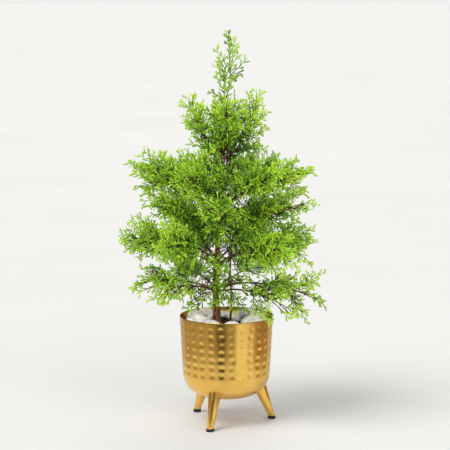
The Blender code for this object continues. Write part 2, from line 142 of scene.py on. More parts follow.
def draw_line(name, points):
    """A chain of edges through the points, drawn by extruding one point."""
    bpy.ops.object.select_all(action="DESELECT")
    bpy.ops.mesh.primitive_plane_add(size=0.001, location=points[0])
    obj = bpy.context.object
    obj.name = name
    obj.data.name = name
    bpy.ops.object.mode_set(mode="EDIT")
    bpy.ops.mesh.select_all(action="SELECT")
    bpy.ops.mesh.merge(type="CENTER")
    for a, b in zip(points, points[1:]):
        bpy.ops.mesh.extrude_region_move(TRANSFORM_OT_translate={"value": b - a})
    bpy.ops.object.mode_set(mode="OBJECT")
    return settle(obj)


def turn_round(obj, axis, steps):
    """Spins a drawn line once round an upright axis, closes the seam and the poles, and faces it outwards."""
    only(obj)
    bpy.ops.object.mode_set(mode="EDIT")
    bpy.ops.mesh.select_all(action="SELECT")
    bpy.ops.mesh.spin(steps=steps, angle=2 * math.pi, center=axis, axis=(0.0, 0.0, 1.0))
    bpy.ops.mesh.select_all(action="SELECT")
    bpy.ops.mesh.remove_doubles(threshold=WELD)
    bpy.ops.mesh.normals_make_consistent(inside=False)
    bpy.ops.object.mode_set(mode="OBJECT")
    return obj

# %% Smoothing, moving points and finishing
SHARP_EDGE = math.radians(50)


def smooth(obj, angle):
    """Shades smooth all but the edges that turn by more than an angle in degrees."""
    only(obj)
    bpy.ops.object.shade_smooth_by_angle(angle=math.radians(angle))


def soften(obj, width, segments):
    """Bevels the sharp edges."""
    edge = obj.modifiers.new("edge", "BEVEL")
    edge.width = width
    edge.segments = segments
    edge.limit_method = "ANGLE"
    edge.angle_limit = SHARP_EDGE


def apply_all(obj):
    only(obj)
    for modifier in list(obj.modifiers):
        bpy.ops.object.modifier_apply(modifier=modifier.name)


def points_of(obj, what="co"):
    """A row of numbers for each point of a mesh: its place, or its normal."""
    rows = np.empty(len(obj.data.vertices) * 3)
    obj.data.vertices.foreach_get(what, rows)
    return rows.reshape(-1, 3)


def set_points(obj, rows):
    obj.data.vertices.foreach_set("co", rows.astype(np.float32).ravel())
    obj.data.update()


def dress(obj, look, slot, *nodes):
    """Gives a finished piece its material and its body, and hides the solids that it stands for. Its slot is
    not used.
    """
    obj.data.materials.clear()
    obj.data.materials.append(look)
    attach(obj, "root")
    if nodes:
        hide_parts(*nodes)
    faces = sum(len(face.vertices) - 2 for face in obj.data.polygons)
    print(obj.name, "has", faces, "triangles")


# %% [markdown]
# Materials
#
# Each finish is a small node tree. The pattern reads Object coordinates, which are real metres here, so a
# feature's scale is simply one over its size. Image textures could hold the same detail, but a procedural
# pattern needs no unwrapping and has no seam.

# %% A helper for node trees
class Finish:
    """A material, with short calls for the nodes that the finishes below share."""

    def __init__(self, name, roughness, metallic=0.0, specular=0.5):
        self.material = bpy.data.materials.new(name)
        self.material.use_nodes = True
        self.tree = self.material.node_tree
        self.surface = self.tree.nodes["Principled BSDF"]
        self.surface.inputs["Roughness"].default_value = roughness
        self.surface.inputs["Metallic"].default_value = metallic
        self.surface.inputs["Specular IOR Level"].default_value = specular
        self.place = self.node("ShaderNodeTexCoord").outputs["Object"]

    def node(self, kind, **settings):
        made = self.tree.nodes.new(kind)
        for name, value in settings.items():
            setattr(made, name, value)
        return made

    def link(self, source, target):
        self.tree.links.new(source, target)

    def stretched(self, scale):
        """The place, stretched along the axes."""
        mapping = self.node("ShaderNodeMapping")
        mapping.inputs["Scale"].default_value = scale
        self.link(self.place, mapping.inputs["Vector"])
        return mapping.outputs["Vector"]

    def noise(self, size, detail=3.0, rough=0.55, place=None):
        made = self.node("ShaderNodeTexNoise")
        made.inputs["Scale"].default_value = 1.0 / size
        made.inputs["Detail"].default_value = detail
        made.inputs["Roughness"].default_value = rough
        self.link(place or self.place, made.inputs["Vector"])
        return made.outputs["Fac"]

    def ramp(self, factor, *stops):
        """A colour ramp from (position, colour) stops."""
        made = self.node("ShaderNodeValToRGB")
        bar = made.color_ramp
        while len(bar.elements) < len(stops):
            bar.elements.new(0.5)
        for element, (position, colour) in zip(bar.elements, stops):
            element.position = position
            element.color = (*colour, 1.0)
        self.link(factor, made.inputs["Fac"])
        return made.outputs["Color"]

    def span(self, factor, low, high, start=0.3, end=0.7):
        made = self.node("ShaderNodeMapRange")
        for name, value in (("From Min", start), ("From Max", end), ("To Min", low), ("To Max", high)):
            made.inputs[name].default_value = value
        self.link(factor, made.inputs["Value"])
        return made.outputs["Result"]

    def colour(self, source):
        self.link(source, self.surface.inputs["Base Color"])

    def rough(self, source):
        self.link(source, self.surface.inputs["Roughness"])

    def bump(self, height, distance, strength):
        made = self.node("ShaderNodeBump")
        made.inputs["Strength"].default_value = strength
        made.inputs["Distance"].default_value = distance
        self.link(height, made.inputs["Height"])
        self.link(made.outputs["Normal"], self.surface.inputs["Normal"])


# %% [markdown]
# The floor and the light
#
# Everything stands on one wide, plain, pale floor. The light is soft: one large lamp high on the left, a
# lower one in front and one behind, and a bright sky that fills the shadows.
#
# Polished metal shows its surroundings, so it needs some. In a studio these are white and dark cards set
# round the object. Here they are one ring of card that only mirrors see: white, grey, brown and black
# stripes, which give the planter its light and dark bands. The floor is fully matt, or it would mirror the
# ring too.

# %% Lay the floor
FLOOR_SIZE = 3000.0
FLOOR_COLOURS = ((0.35, (0.610, 0.606, 0.596)), (0.65, (0.630, 0.626, 0.616)))


def add_floor():
    bpy.ops.object.select_all(action="DESELECT")
    bpy.ops.mesh.primitive_plane_add(size=FLOOR_SIZE)
    floor = bpy.context.object
    floor.name = "floor"
    finish = Finish("floor_paint", 0.55, specular=0.0)
    finish.colour(finish.ramp(finish.noise(0.8), *FLOOR_COLOURS))
    floor.data.materials.append(finish.material)


add_floor()
print("floor:", FLOOR_SIZE, "m wide")

# %% Hang the lamps and light the sky
# Each lamp: the way its light comes from as azimuth and height in degrees, its strength, the angle that it
# fills, and its colour. A lamp far away lights the wide floor evenly.
LAMPS = {
    "key": (-140.0, 52.0, 2.35, 35.0, (1.0, 0.985, 0.96)),
    "fill": (-62.0, 26.0, 1.35, 60.0, (1.0, 0.995, 0.985)),
    "back": (80.0, 48.0, 0.7, 40.0, (1.0, 0.99, 0.97)),
}
# The sky's brightness by the sine of the height: it is pale low down, as the floor is, and dimmer above
SKY = ((0.52, (0.86, 0.86, 0.85)), (0.60, (0.52, 0.527, 0.54)))


def add_lamps():
    for name, (azimuth, height, strength, angle, colour) in LAMPS.items():
        lamp = bpy.data.lights.new(name, "SUN")
        lamp.energy = strength
        lamp.angle = math.radians(angle)
        lamp.color = colour
        made = bpy.data.objects.new(name, lamp)
        level = math.cos(math.radians(height))
        source = Vector((math.cos(math.radians(azimuth)) * level, math.sin(math.radians(azimuth)) * level,
                         math.sin(math.radians(height))))
        made.rotation_euler = (-source).to_track_quat("-Z", "Y").to_euler()
        bpy.context.scene.collection.objects.link(made)
    sky = bpy.data.worlds.new("sky")
    sky.use_nodes = True
    nodes, links = sky.node_tree.nodes, sky.node_tree.links
    way = nodes.new("ShaderNodeTexCoord")
    height = nodes.new("ShaderNodeSeparateXYZ")
    links.new(way.outputs["Generated"], height.inputs["Vector"])
    share = nodes.new("ShaderNodeMapRange")
    share.inputs["From Min"].default_value = -1.0
    links.new(height.outputs["Z"], share.inputs["Value"])
    ramp = nodes.new("ShaderNodeValToRGB")
    for element, (position, colour) in zip(ramp.color_ramp.elements, SKY):
        element.position = position
        element.color = (*colour, 1.0)
    links.new(share.outputs["Result"], ramp.inputs["Fac"])
    links.new(ramp.outputs["Color"], nodes["Background"].inputs["Color"])
    bpy.context.scene.world = sky
    bpy.context.scene.view_settings.view_transform = "Standard"


add_lamps()
print("lamps:", ", ".join(LAMPS))

# %% Stand the ring of card
RING_RADIUS = 0.375
RING_HEIGHT = 0.46
RING_LIFT = 0.002
RING_SIDES = 96
# The card is darker higher up: its brightness there, and the two heights between which it changes
CARD_DIM = 0.35
DIM_HEIGHTS = (0.07, 0.21)
# Stripes as (degrees from the front towards the right, brightness): the ramp runs once round from behind
CARD_STRIPES = (
    (-180, (0.62, 0.60, 0.57)),
    (-135, (0.60, 0.57, 0.52)),
    (-112, (0.42, 0.37, 0.31)),
    (-40, (0.46, 0.40, 0.33)),
    (-24, (0.30, 0.25, 0.20)),
    (-18, (0.08, 0.07, 0.06)),
    (-7, (0.08, 0.07, 0.06)),
    (0, (0.30, 0.26, 0.21)),
    (18, (0.40, 0.36, 0.29)),
    (28, (1.00, 1.04, 1.10)),
    (52, (0.86, 0.84, 0.80)),
    (72, (0.42, 0.30, 0.19)),
    (104, (0.34, 0.22, 0.12)),
    (128, (0.60, 0.55, 0.48)),
    (180, (0.66, 0.64, 0.60)),
)


def add_card_ring(axis):
    """The ring stands round the planter and glows. Only rays that a mirror sends out see it."""
    bpy.ops.object.select_all(action="DESELECT")
    bpy.ops.mesh.primitive_cylinder_add(
        vertices=RING_SIDES, radius=RING_RADIUS, depth=RING_HEIGHT, end_fill_type="NOTHING",
        location=(axis.x, axis.y, RING_LIFT + RING_HEIGHT / 2),
    )
    ring = bpy.context.object
    ring.name = "card_ring"
    finish = Finish("card", 1.0)
    parts = finish.node("ShaderNodeSeparateXYZ")
    finish.link(finish.place, parts.inputs["Vector"])
    behind = finish.node("ShaderNodeMath", operation="MULTIPLY")
    behind.inputs[1].default_value = -1.0
    finish.link(parts.outputs["Y"], behind.inputs[0])
    angle = finish.node("ShaderNodeMath", operation="ARCTAN2")
    finish.link(parts.outputs["X"], angle.inputs[0])
    finish.link(behind.outputs["Value"], angle.inputs[1])
    share = finish.span(angle.outputs["Value"], 0.0, 1.0, -math.pi, math.pi)
    stops = [(degrees / 360 + 0.5, colour) for degrees, colour in CARD_STRIPES]
    glow = finish.node("ShaderNodeEmission")
    low, high = (height - RING_LIFT - RING_HEIGHT / 2 for height in DIM_HEIGHTS)
    dim = finish.span(parts.outputs["Z"], 1.0, CARD_DIM, low, high)
    finish.link(dim, glow.inputs["Strength"])
    finish.link(finish.ramp(share, *stops), glow.inputs["Color"])
    finish.link(glow.outputs["Emission"], finish.tree.nodes["Material Output"].inputs["Surface"])
    ring.data.materials.append(finish.material)
    for ray in ("camera", "diffuse", "transmission", "volume_scatter", "shadow"):
        setattr(ring, "visible_" + ray, False)


pot_low, pot_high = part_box("planter_pot")
POT_AXIS = Vector(((pot_low.x + pot_high.x) / 2, (pot_low.y + pot_high.y) / 2, 0.0))
add_card_ring(POT_AXIS)
print("planter's axis:", [round(1000 * x, 2) for x in POT_AXIS], "mm")


# %% [markdown]
# The gold finish
#
# The planter is sheet metal with a warm, satin gold plating. Gold is a metallic surface with a strong
# colour. Its roughness wanders a little, and a faint fine bump breaks up the reflections, as buffing does.

# %% Mix the gold
GOLD_COLOURS = ((0.35, (0.86, 0.53, 0.115)), (0.65, (0.92, 0.585, 0.150)))


def gold_finish():
    finish = Finish("satin_gold", 0.24, metallic=1.0)
    finish.colour(finish.ramp(finish.noise(0.02), *GOLD_COLOURS))
    finish.rough(finish.span(finish.noise(0.008, detail=4.0), 0.18, 0.26))
    finish.bump(finish.noise(0.0012, detail=2.0), 0.00002, 0.5)
    return finish.material


gold = gold_finish()
print("finish:", gold.name)


# %% [markdown]
# The planter's shell
#
# A maker spins a flat disc over a form, which gives an even wall with a round lower edge. Then the wall is
# hammered in rows. So the mesh is made the same way: the profile is drawn and spun, and each hammer blow
# moves the points near it inwards by a smooth bowl. A bump map would be cheaper, but real dents also catch
# the light at the outline.

# %% Draw and spin the shell
RIM_RADIUS = (pot_high.x - pot_low.x) / 2
RIM_HEIGHT = pot_high.z
POT_BOTTOM = pot_low.z
WALL_FOOT_RADIUS = 0.0704
CORNER_RADIUS = 0.040
SHEET = 0.0012
FINE_STEP = 0.00135
COARSE_STEP = 0.008
DENT_COLUMNS = 28
SPIN_STEPS = DENT_COLUMNS * 13
CORNER_CENTRE = Vector((WALL_FOOT_RADIUS - CORNER_RADIUS, 0.0, POT_BOTTOM + CORNER_RADIUS))
WALL_SLOPE = (RIM_RADIUS - WALL_FOOT_RADIUS) / (RIM_HEIGHT - CORNER_CENTRE.z)


def shell_side(inset, step, top=RIM_HEIGHT):
    """Points up one side of the shell, from the bottom's centre to the rim, moved inwards by inset."""
    corner = CORNER_RADIUS - inset
    flat = max(2, round(CORNER_CENTRE.x / COARSE_STEP))
    points = [Vector((CORNER_CENTRE.x * i / flat, 0.0, POT_BOTTOM + inset)) for i in range(flat)]
    bend = max(4, round(0.5 * math.pi * corner / step))
    for i in range(bend):
        turn = 0.5 * math.pi * i / bend
        points.append(CORNER_CENTRE + Vector((math.sin(turn), 0.0, -math.cos(turn))) * corner)
    rise = max(2, round((top - CORNER_CENTRE.z) / step))
    for i in range(rise + 1):
        height = (top - CORNER_CENTRE.z) * i / rise
        radius = WALL_FOOT_RADIUS - inset + WALL_SLOPE * height
        points.append(Vector((radius, 0.0, CORNER_CENTRE.z + height)))
    return points


def spin_shell():
    """The wall and the bottom are one sheet, with a round lip at the rim."""
    lip = SHEET / 2
    outer = shell_side(0.0, FINE_STEP, RIM_HEIGHT - lip)
    inner = shell_side(SHEET, COARSE_STEP, RIM_HEIGHT - lip)
    crest = (outer[-1] + inner[-1]) / 2
    turns = (math.pi / 4, math.pi / 2, 3 * math.pi / 4)
    bend = [crest + Vector((math.cos(a), 0.0, math.sin(a))) * lip for a in turns]
    line = [POT_AXIS + p for p in outer + bend + inner[::-1]]
    return turn_round(draw_line("planter_shell", line), POT_AXIS, SPIN_STEPS)


shell = spin_shell()
print("shell:", len(shell.data.vertices), "points")

# %% Hammer the dents
DENT_ROWS = 7
FIRST_ROW = 0.0125
ROW_PITCH = 0.0122
DENT_RADIUS = 0.0064
DENT_DEPTH = 0.00078
DENT_STRAY = 0.0008
DENT_SIZES, DENT_FORCES = (0.88, 1.08), (0.5, 1.2)
DENT_SEED = 7
# The smooth band under the rim
RIM_BAND = 0.003
WAVE_SIZE = 0.035
WAVE_DEPTH = 0.00022
# Rows on the lower edge: how far round it, and how many dents. They are shallower than those on the wall.
CURVE_ROWS = ((0.30, 24), (0.62, 19))
CURVE_FORCE = 0.75


def dent_centres(rule):
    """Where the hammer falls: straight rows on the wall, and two sparser rows round the lower edge."""
    centre = CORNER_CENTRE
    rows = []
    for row in range(DENT_ROWS):
        height = RIM_HEIGHT - FIRST_ROW - row * ROW_PITCH
        rows.append((WALL_FOOT_RADIUS + WALL_SLOPE * (height - centre.z), height, DENT_COLUMNS, 1.0))
    for share, count in CURVE_ROWS:
        turn = share * math.pi / 2
        out, down = CORNER_RADIUS * math.cos(turn), CORNER_RADIUS * math.sin(turn)
        rows.append((centre.x + out, centre.z - down, count, CURVE_FORCE))
    for radius, height, count, force in rows:
        for i in range(count):
            stray = rule.gauss(0.0, DENT_STRAY) / radius
            turn = 2 * math.pi * (i + 0.5) / count - math.pi / 2 + stray
            place = POT_AXIS + Vector((radius * math.cos(turn), radius * math.sin(turn), height))
            place.z += rule.gauss(0.0, DENT_STRAY / 2)
            size = DENT_RADIUS * rule.uniform(*DENT_SIZES)
            yield place, size, DENT_DEPTH * force * rule.uniform(*DENT_FORCES)


def hammer(obj):
    """Pushes the outer side in, by a bowl at each blow and by slow waves, and counts the points it moves."""
    places = points_of(obj)
    normals = points_of(obj, "normal")
    offset = places - np.array(POT_AXIS)
    faces_out = (normals[:, :2] * offset[:, :2]).sum(1) > 0
    below_rim = places[:, 2] < RIM_HEIGHT - RIM_BAND
    outside = np.flatnonzero((faces_out | (places[:, 2] < POT_BOTTOM + WELD)) & below_rim)
    push = np.zeros(len(places))
    for centre, radius, depth in dent_centres(random.Random(DENT_SEED)):
        gap = np.linalg.norm(places[outside] - np.array(centre), axis=1) / radius
        push[outside] += depth * np.clip(1.0 - gap ** 2, 0.0, None) ** 2
    for i in outside:
        push[i] += WAVE_DEPTH * noise.noise(Vector(places[i]) / WAVE_SIZE)
    set_points(obj, places - normals * push[:, None])
    return len(outside)


print("hammered points:", hammer(shell))
smooth(shell, 60.0)
dress(shell, gold, "planter_metal", "planter_pot")


# %% [markdown]
# Legs and rubber feet
#
# Each leg is a slim cone of the same gold metal that leans outwards and is cut to the curve of the shell.
# It starts as a cone. A Boolean with the shell's form cuts its top, and a bisect at the pad's height cuts its
# foot level. The pad is a cylinder whose edges are bevelled, as a moulded rubber cap is.

# %% Make the three legs
LEG_NAMES = ("front", "right", "rear")
LEG_LENGTH = 0.072
LEG_TOP_RADIUS = 0.0125
LEG_FOOT_RADIUS = 0.0052
LEG_EXTRA = 0.012
LEG_LEAN = math.radians(21.7)
LEG_SUNK = 0.0002
LEG_SIDES = 72
LEG_EDGE = 0.0005


def shell_form():
    """A solid of the shell's outer shape, which cuts the tops of the legs."""
    side = shell_side(LEG_SUNK, COARSE_STEP / 2)
    points = [POT_AXIS + p for p in side + [Vector((0.0, 0.0, RIM_HEIGHT))]]
    form = turn_round(draw_line("shell_form", points), POT_AXIS, SPIN_STEPS // 2)
    form.hide_render = True
    return form


def make_leg(where, form):
    low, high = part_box("pad_" + where)
    foot = (low + high) / 2
    outward = (foot - POT_AXIS).to_2d().to_3d().normalized()
    axis = Vector((0.0, 0.0, math.cos(LEG_LEAN))) - outward * math.sin(LEG_LEAN)
    grow = (LEG_TOP_RADIUS - LEG_FOOT_RADIUS) / LEG_LENGTH
    start = Vector((foot.x, foot.y, high.z))
    bpy.ops.object.select_all(action="DESELECT")
    bpy.ops.mesh.primitive_cone_add(
        vertices=LEG_SIDES, radius1=LEG_FOOT_RADIUS - grow * LEG_EXTRA, radius2=LEG_TOP_RADIUS,
        depth=LEG_LENGTH + LEG_EXTRA, location=start + axis * (LEG_LENGTH - LEG_EXTRA) / 2,
        rotation=axis.to_track_quat("Z", "Y").to_euler(),
    )
    leg = bpy.context.object
    leg.name = "cone_leg_" + where
    settle(leg)
    bpy.ops.object.mode_set(mode="EDIT")
    bpy.ops.mesh.select_all(action="SELECT")
    bpy.ops.mesh.bisect(plane_co=start, plane_no=(0.0, 0.0, 1.0), use_fill=True, clear_inner=True)
    bpy.ops.object.mode_set(mode="OBJECT")
    cut = leg.modifiers.new("cut", "BOOLEAN")
    cut.operation = "DIFFERENCE"
    cut.object = form
    soften(leg, LEG_EDGE, 2)
    apply_all(leg)
    smooth(leg, 35.0)
    dress(leg, gold, "planter_metal", "leg_" + where)


form = shell_form()
for where in LEG_NAMES:
    make_leg(where, form)
bpy.data.objects.remove(form)

# %% Make the rubber feet
PAD_SIDES = 48
PAD_EDGE = 0.0009
# The pad's top: how far its raised middle is set in, and how high it rises
PAD_INSET, PAD_LIFT = 0.0022, 0.0003


def rubber_finish():
    finish = Finish("black_rubber", 0.6, specular=0.35)
    darker, lighter = (0.3, (0.010, 0.010, 0.011)), (0.7, (0.020, 0.020, 0.022))
    finish.colour(finish.ramp(finish.noise(0.003), darker, lighter))
    finish.bump(finish.noise(0.0006), 0.00002, 0.6)
    return finish.material


def make_pad(where, look):
    low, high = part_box("pad_" + where)
    bpy.ops.object.select_all(action="DESELECT")
    bpy.ops.mesh.primitive_cylinder_add(
        vertices=PAD_SIDES, radius=(high.x - low.x) / 2, depth=high.z - low.z, location=(low + high) / 2,
    )
    pad = bpy.context.object
    pad.name = "rubber_pad_" + where
    settle(pad)
    bpy.ops.object.mode_set(mode="EDIT")
    pick(pad, lambda place: place.z > high.z - WELD)
    bpy.ops.mesh.inset(thickness=PAD_INSET)
    bpy.ops.transform.translate(value=(0.0, 0.0, PAD_LIFT))
    bpy.ops.object.mode_set(mode="OBJECT")
    soften(pad, PAD_EDGE, 4)
    apply_all(pad)
    smooth(pad, 35.0)
    dress(pad, look, "foot_rubber", "pad_" + where)


rubber = rubber_finish()
for where in LEG_NAMES:
    make_pad(where, rubber)


# %% [markdown]
# What fills the planter
#
# Dark potting mix shows round the stems, between the stones. Its surface is a turned disc whose points are
# lifted by two sizes of noise. The loose crumbs and chips of bark on it are one small lump, copied many
# times with its own turn and size.

# %% Lumpy potting mix
SOIL_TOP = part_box("soil")[1].z
SOIL_GAP = 0.0003
SOIL_STEPS = 150
SOIL_RINGS = 42
SOIL_LUMPS = ((0.014, 0.0022), (0.004, 0.0012))


def soil_finish():
    finish = Finish("potting_mix_look", 0.95, specular=0.15)
    finish.colour(finish.ramp(finish.noise(0.003, detail=5.0), (0.30, (0.020, 0.010, 0.006)),
                              (0.52, (0.062, 0.030, 0.018)), (0.75, (0.13, 0.075, 0.045))))
    finish.bump(finish.noise(0.0014, detail=5.0), 0.0005, 0.9)
    return finish.material


def soil_lift(place):
    return sum(depth * noise.noise(place / size) for size, depth in SOIL_LUMPS)


def make_soil(look):
    side = shell_side(SHEET + SOIL_GAP, COARSE_STEP, SOIL_TOP)
    edge = side[-1].x
    top = [Vector((edge * (1 - i / SOIL_RINGS), 0.0, SOIL_TOP)) for i in range(1, SOIL_RINGS + 1)]
    soil = turn_round(draw_line("potting_mix", [POT_AXIS + p for p in side + top]), POT_AXIS, SOIL_STEPS)
    places = points_of(soil)
    for row in places:
        if row[2] > SOIL_TOP - WELD:
            row[2] += soil_lift(Vector(row)) - SOIL_LUMPS[0][1] / 3
    set_points(soil, places)
    smooth(soil, 70.0)
    dress(soil, look, "potting_mix", "soil")


mix = soil_finish()
make_soil(mix)

# %% Crumbs and chips
CRUMBS = 420
CRUMB_SIZES = (0.0008, 0.0026)
CRUMB_LENGTHS, CRUMB_HEIGHTS = (0.9, 2.2), (0.4, 0.9)
CRUMB_ROUGH = 0.25
CRUMB_LIFT = 0.3
CRUMB_SEED = 11
CRUMB_SPREAD = 0.066


def lump_shape(subdivisions):
    """The points and faces of an icosphere, as the start of a lump."""
    bpy.ops.object.select_all(action="DESELECT")
    bpy.ops.mesh.primitive_ico_sphere_add(subdivisions=subdivisions, radius=1.0)
    ball = bpy.context.object
    places = points_of(ball)
    faces = np.array([face.vertices[:] for face in ball.data.polygons])
    bpy.data.objects.remove(ball)
    return places, faces


def mesh_piece(name, places, faces):
    """One object from an array of points and an array of faces that all have as many corners."""
    mesh = bpy.data.meshes.new(name)
    corners = faces.shape[1]
    mesh.vertices.add(len(places))
    mesh.vertices.foreach_set("co", places.astype(np.float32).ravel())
    mesh.loops.add(faces.size)
    mesh.loops.foreach_set("vertex_index", faces.astype(np.int32).ravel())
    mesh.polygons.add(len(faces))
    mesh.polygons.foreach_set("loop_start", np.arange(0, faces.size, corners, dtype=np.int32))
    mesh.update(calc_edges=True)
    mesh.validate()
    obj = bpy.data.objects.new(name, mesh)
    bpy.context.scene.collection.objects.link(obj)
    return obj


def joined_copies(name, shapes, faces):
    """One object from many same-faced shapes, each an array of points."""
    step = len(shapes[0])
    rows = [faces + i * step for i in range(len(shapes))]
    return mesh_piece(name, np.concatenate(shapes), np.concatenate(rows))


def any_way(rule):
    """A random direction."""
    return Vector((rule.gauss(0, 1), rule.gauss(0, 1), rule.gauss(0, 1))).normalized()


def turned_by(rule):
    """A random turn, as a matrix for rows of points."""
    axis = any_way(rule)
    return np.array(Matrix.Rotation(rule.uniform(0, 2 * math.pi), 3, axis))


def make_crumbs(look):
    rule = random.Random(CRUMB_SEED)
    lump, faces = lump_shape(1)
    shapes = []
    for _ in range(CRUMBS):
        radius = CRUMB_SPREAD * math.sqrt(rule.random())
        turn = rule.uniform(0, 2 * math.pi)
        size = rule.uniform(*CRUMB_SIZES)
        stretch = np.array([size * rule.uniform(*CRUMB_LENGTHS), size, size * rule.uniform(*CRUMB_HEIGHTS)])
        rough = 1.0 + CRUMB_ROUGH * np.array([rule.gauss(0, 1) for _ in lump])[:, None]
        spot = POT_AXIS + Vector((radius * math.cos(turn), radius * math.sin(turn), SOIL_TOP))
        spot.z += soil_lift(spot) + CRUMB_LIFT * size
        shapes.append((lump * rough * stretch) @ turned_by(rule).T + np.array(spot))
    crumbs = joined_copies("soil_crumbs", shapes, faces)
    smooth(crumbs, 50.0)
    dress(crumbs, look, "potting_mix")


make_crumbs(mix)

# %% [markdown]
# White stones
#
# White stones hide the mix: two rings of them, and a few on top. They are tumbled marble, round at the
# corners but with flat sides, and stained here and there by the mix. One sphere could be copied, but the
# eye soon sees the repeat. So each stone is shaped on its own: a few random flats are cut off a sphere, and
# a fine noise roughens it.

# %% Shape the stones
# Rings of stones: the radius, how many, the first one's place as a share of a step, and the height
STONE_RINGS = ((0.0585, 12, 0.3, 0.0050), (0.0375, 7, 0.45, 0.0050))
TOP_STONES = (
    (-0.053, 0.022), (-0.043, -0.016), (-0.032, 0.042), (0.033, 0.040), (0.053, 0.014), (0.042, -0.010),
    (-0.028, 0.010),
)
TOP_STONE_LIFT = 0.0125
STONE_SIZE = (0.0146, 0.0112, 0.0082)
STONE_SIZES = (0.84, 1.10)
STONE_SEED = 23
# The flats that are cut off a stone: how many, how far from its middle, and how much of what is past them
STONE_FLATS = 9
FLAT_REACHES = (0.70, 0.90)
FLAT_CUT = 0.9
# How fine a stone's waves and pits are, and how high
STONE_WAVES, STONE_PITS = (1.3, 0.09), (4.0, 0.025)
# How much a stone strays along its ring, turns, and leans along and across
RING_STRAY, STONE_TURN, STONE_LEANS = 0.05, 0.5, (0.3, 0.35)
# How much of a stone's length may point at the wall
WALL_SHARE = 0.6
WALL_ROOM = 0.0008
STEM_ROOM = 0.006
# Where the two stems stand, from the planter's axis
STEM_FEET = (Vector((-0.0150, 0.0)), Vector((0.0064, -0.0086)))


def stone_finish():
    finish = Finish("white_stone", 0.62, specular=0.35)
    finish.colour(finish.ramp(finish.noise(0.016, detail=4.0, rough=0.6), (0.24, (0.88, 0.83, 0.78)),
                              (0.40, (0.99, 0.95, 0.91)), (0.62, (0.99, 0.96, 0.93)),
                              (0.72, (0.90, 0.74, 0.62))))
    finish.bump(finish.noise(0.0016, detail=5.0), 0.00025, 0.7)
    return finish.material


def stone_shape(rule, ball, size):
    """A sphere with flats cut off it, stretched to a stone's size."""
    places = ball.copy()
    for _ in range(STONE_FLATS):
        side = np.array(any_way(rule))
        reach = rule.uniform(*FLAT_REACHES)
        over = places @ side - reach
        places -= np.clip(over, 0.0, None)[:, None] * side * FLAT_CUT
    shift = Vector((rule.uniform(0, 9), rule.uniform(0, 9), rule.uniform(0, 9)))
    rough = np.ones(len(places))
    for fine, high in (STONE_WAVES, STONE_PITS):
        rough = rough + high * np.array([noise.noise(Vector(p) * fine + shift) for p in places])
    return places * rough[:, None] * np.array(size)


def make_stones(look):
    rule = random.Random(STONE_SEED)
    ball, faces = lump_shape(4)
    shapes = []
    spots = []
    for radius, count, offset, lift in STONE_RINGS:
        for i in range(count):
            turn = 2 * math.pi * (i + offset) / count + rule.uniform(-RING_STRAY, RING_STRAY)
            spots.append((radius * math.cos(turn), radius * math.sin(turn), SOIL_TOP + lift, turn))
    for x, y in TOP_STONES:
        spots.append((x, y, SOIL_TOP + TOP_STONE_LIFT, math.atan2(y, x)))
    for x, y, z, turn in spots:
        size = Vector(STONE_SIZE) * rule.uniform(*STONE_SIZES)
        reach = RIM_RADIUS - 2 * SHEET - WALL_ROOM - max(WALL_SHARE * size.x, size.y)
        out = math.hypot(x, y)
        if out > reach:
            x, y = x * reach / out, y * reach / out
        if any((Vector((x, y)) - stem).length < size.y + STEM_ROOM for stem in STEM_FEET):
            continue
        turn += math.pi / 2 + rule.uniform(-STONE_TURN, STONE_TURN)
        lean = Matrix.Rotation(turn, 3, "Z")
        for most, axis in zip(STONE_LEANS, "YX"):
            lean = lean @ Matrix.Rotation(rule.uniform(-most, most), 3, axis)
        place = POT_AXIS + Vector((x, y, z))
        shapes.append(stone_shape(rule, ball, size) @ np.array(lean).T + np.array(place))
    stones = joined_copies("white_stones", shapes, faces)
    smooth(stones, 60.0)
    print("stones:", len(shapes))
    dress(stones, look, "pebble", "pebbles")


make_stones(stone_finish())

# %% [markdown]
# Stems and boughs
#
# The trunk runs from the mix to the foot of the leader. It leans, tapers, and flares at its root. A thin
# second stem stands beside it, and bare boughs leave the trunk in three rings. Each of them follows a
# smooth line through a few points, with a radius that falls along it.
#
# A limb could be extruded from a circle, ring by ring. A curve with a round bevel gives the same tube from
# its centre line at once, and turning it into a mesh makes it ready for bark.

# %% The lines of the trunk and the second stem
CLEAR = 0.0003
TRUNK_COURSE = (
    (-0.0150, 0.0000, SOIL_TOP + CLEAR),
    (-0.0152, 0.0000, 0.170),
    (-0.0172, 0.0005, 0.210),
    (-0.0170, 0.0015, 0.250),
    (-0.0122, 0.0020, 0.296),
    (-0.0088, 0.0010, 0.357),
    (-0.0055, -0.0010, 0.420),
    (-0.0025, -0.0010, 0.476),
    (-0.0010, 0.0000, 0.512),
)
TRUNK_RADII = (0.0060, 0.0014)
TRUNK_TAPER = 0.85
ROOT_FLARE = (0.0032, 0.009)
SECOND_COURSE = (
    (0.0062, -0.0085, SOIL_TOP + CLEAR),
    (0.0064, -0.0086, 0.166),
    (0.0082, -0.0095, 0.209),
    (0.0060, -0.0120, 0.250),
    (0.0085, -0.0150, 0.282),
)
SECOND_RADII = (0.0021, 0.0013)
STEM_STATIONS = 14
CURVE_STEPS = 8


def smooth_course(points, stations):
    """Evenly spaced points on the Catmull-Rom curve through the given ones."""
    points = [Vector(p) for p in points]
    ends = [points[0] * 2 - points[1]] + points + [points[-1] * 2 - points[-2]]
    fine = []
    for i in range(1, len(ends) - 2):
        a, b, c, d = ends[i - 1:i + 3]
        for step in range(CURVE_STEPS):
            t = step / CURVE_STEPS
            fine.append(0.5 * (2 * b + (c - a) * t + (2 * a - 5 * b + 4 * c - d) * t ** 2
                               + (3 * b - a - 3 * c + d) * t ** 3))
    fine.append(points[-1])
    return spaced(fine, stations)


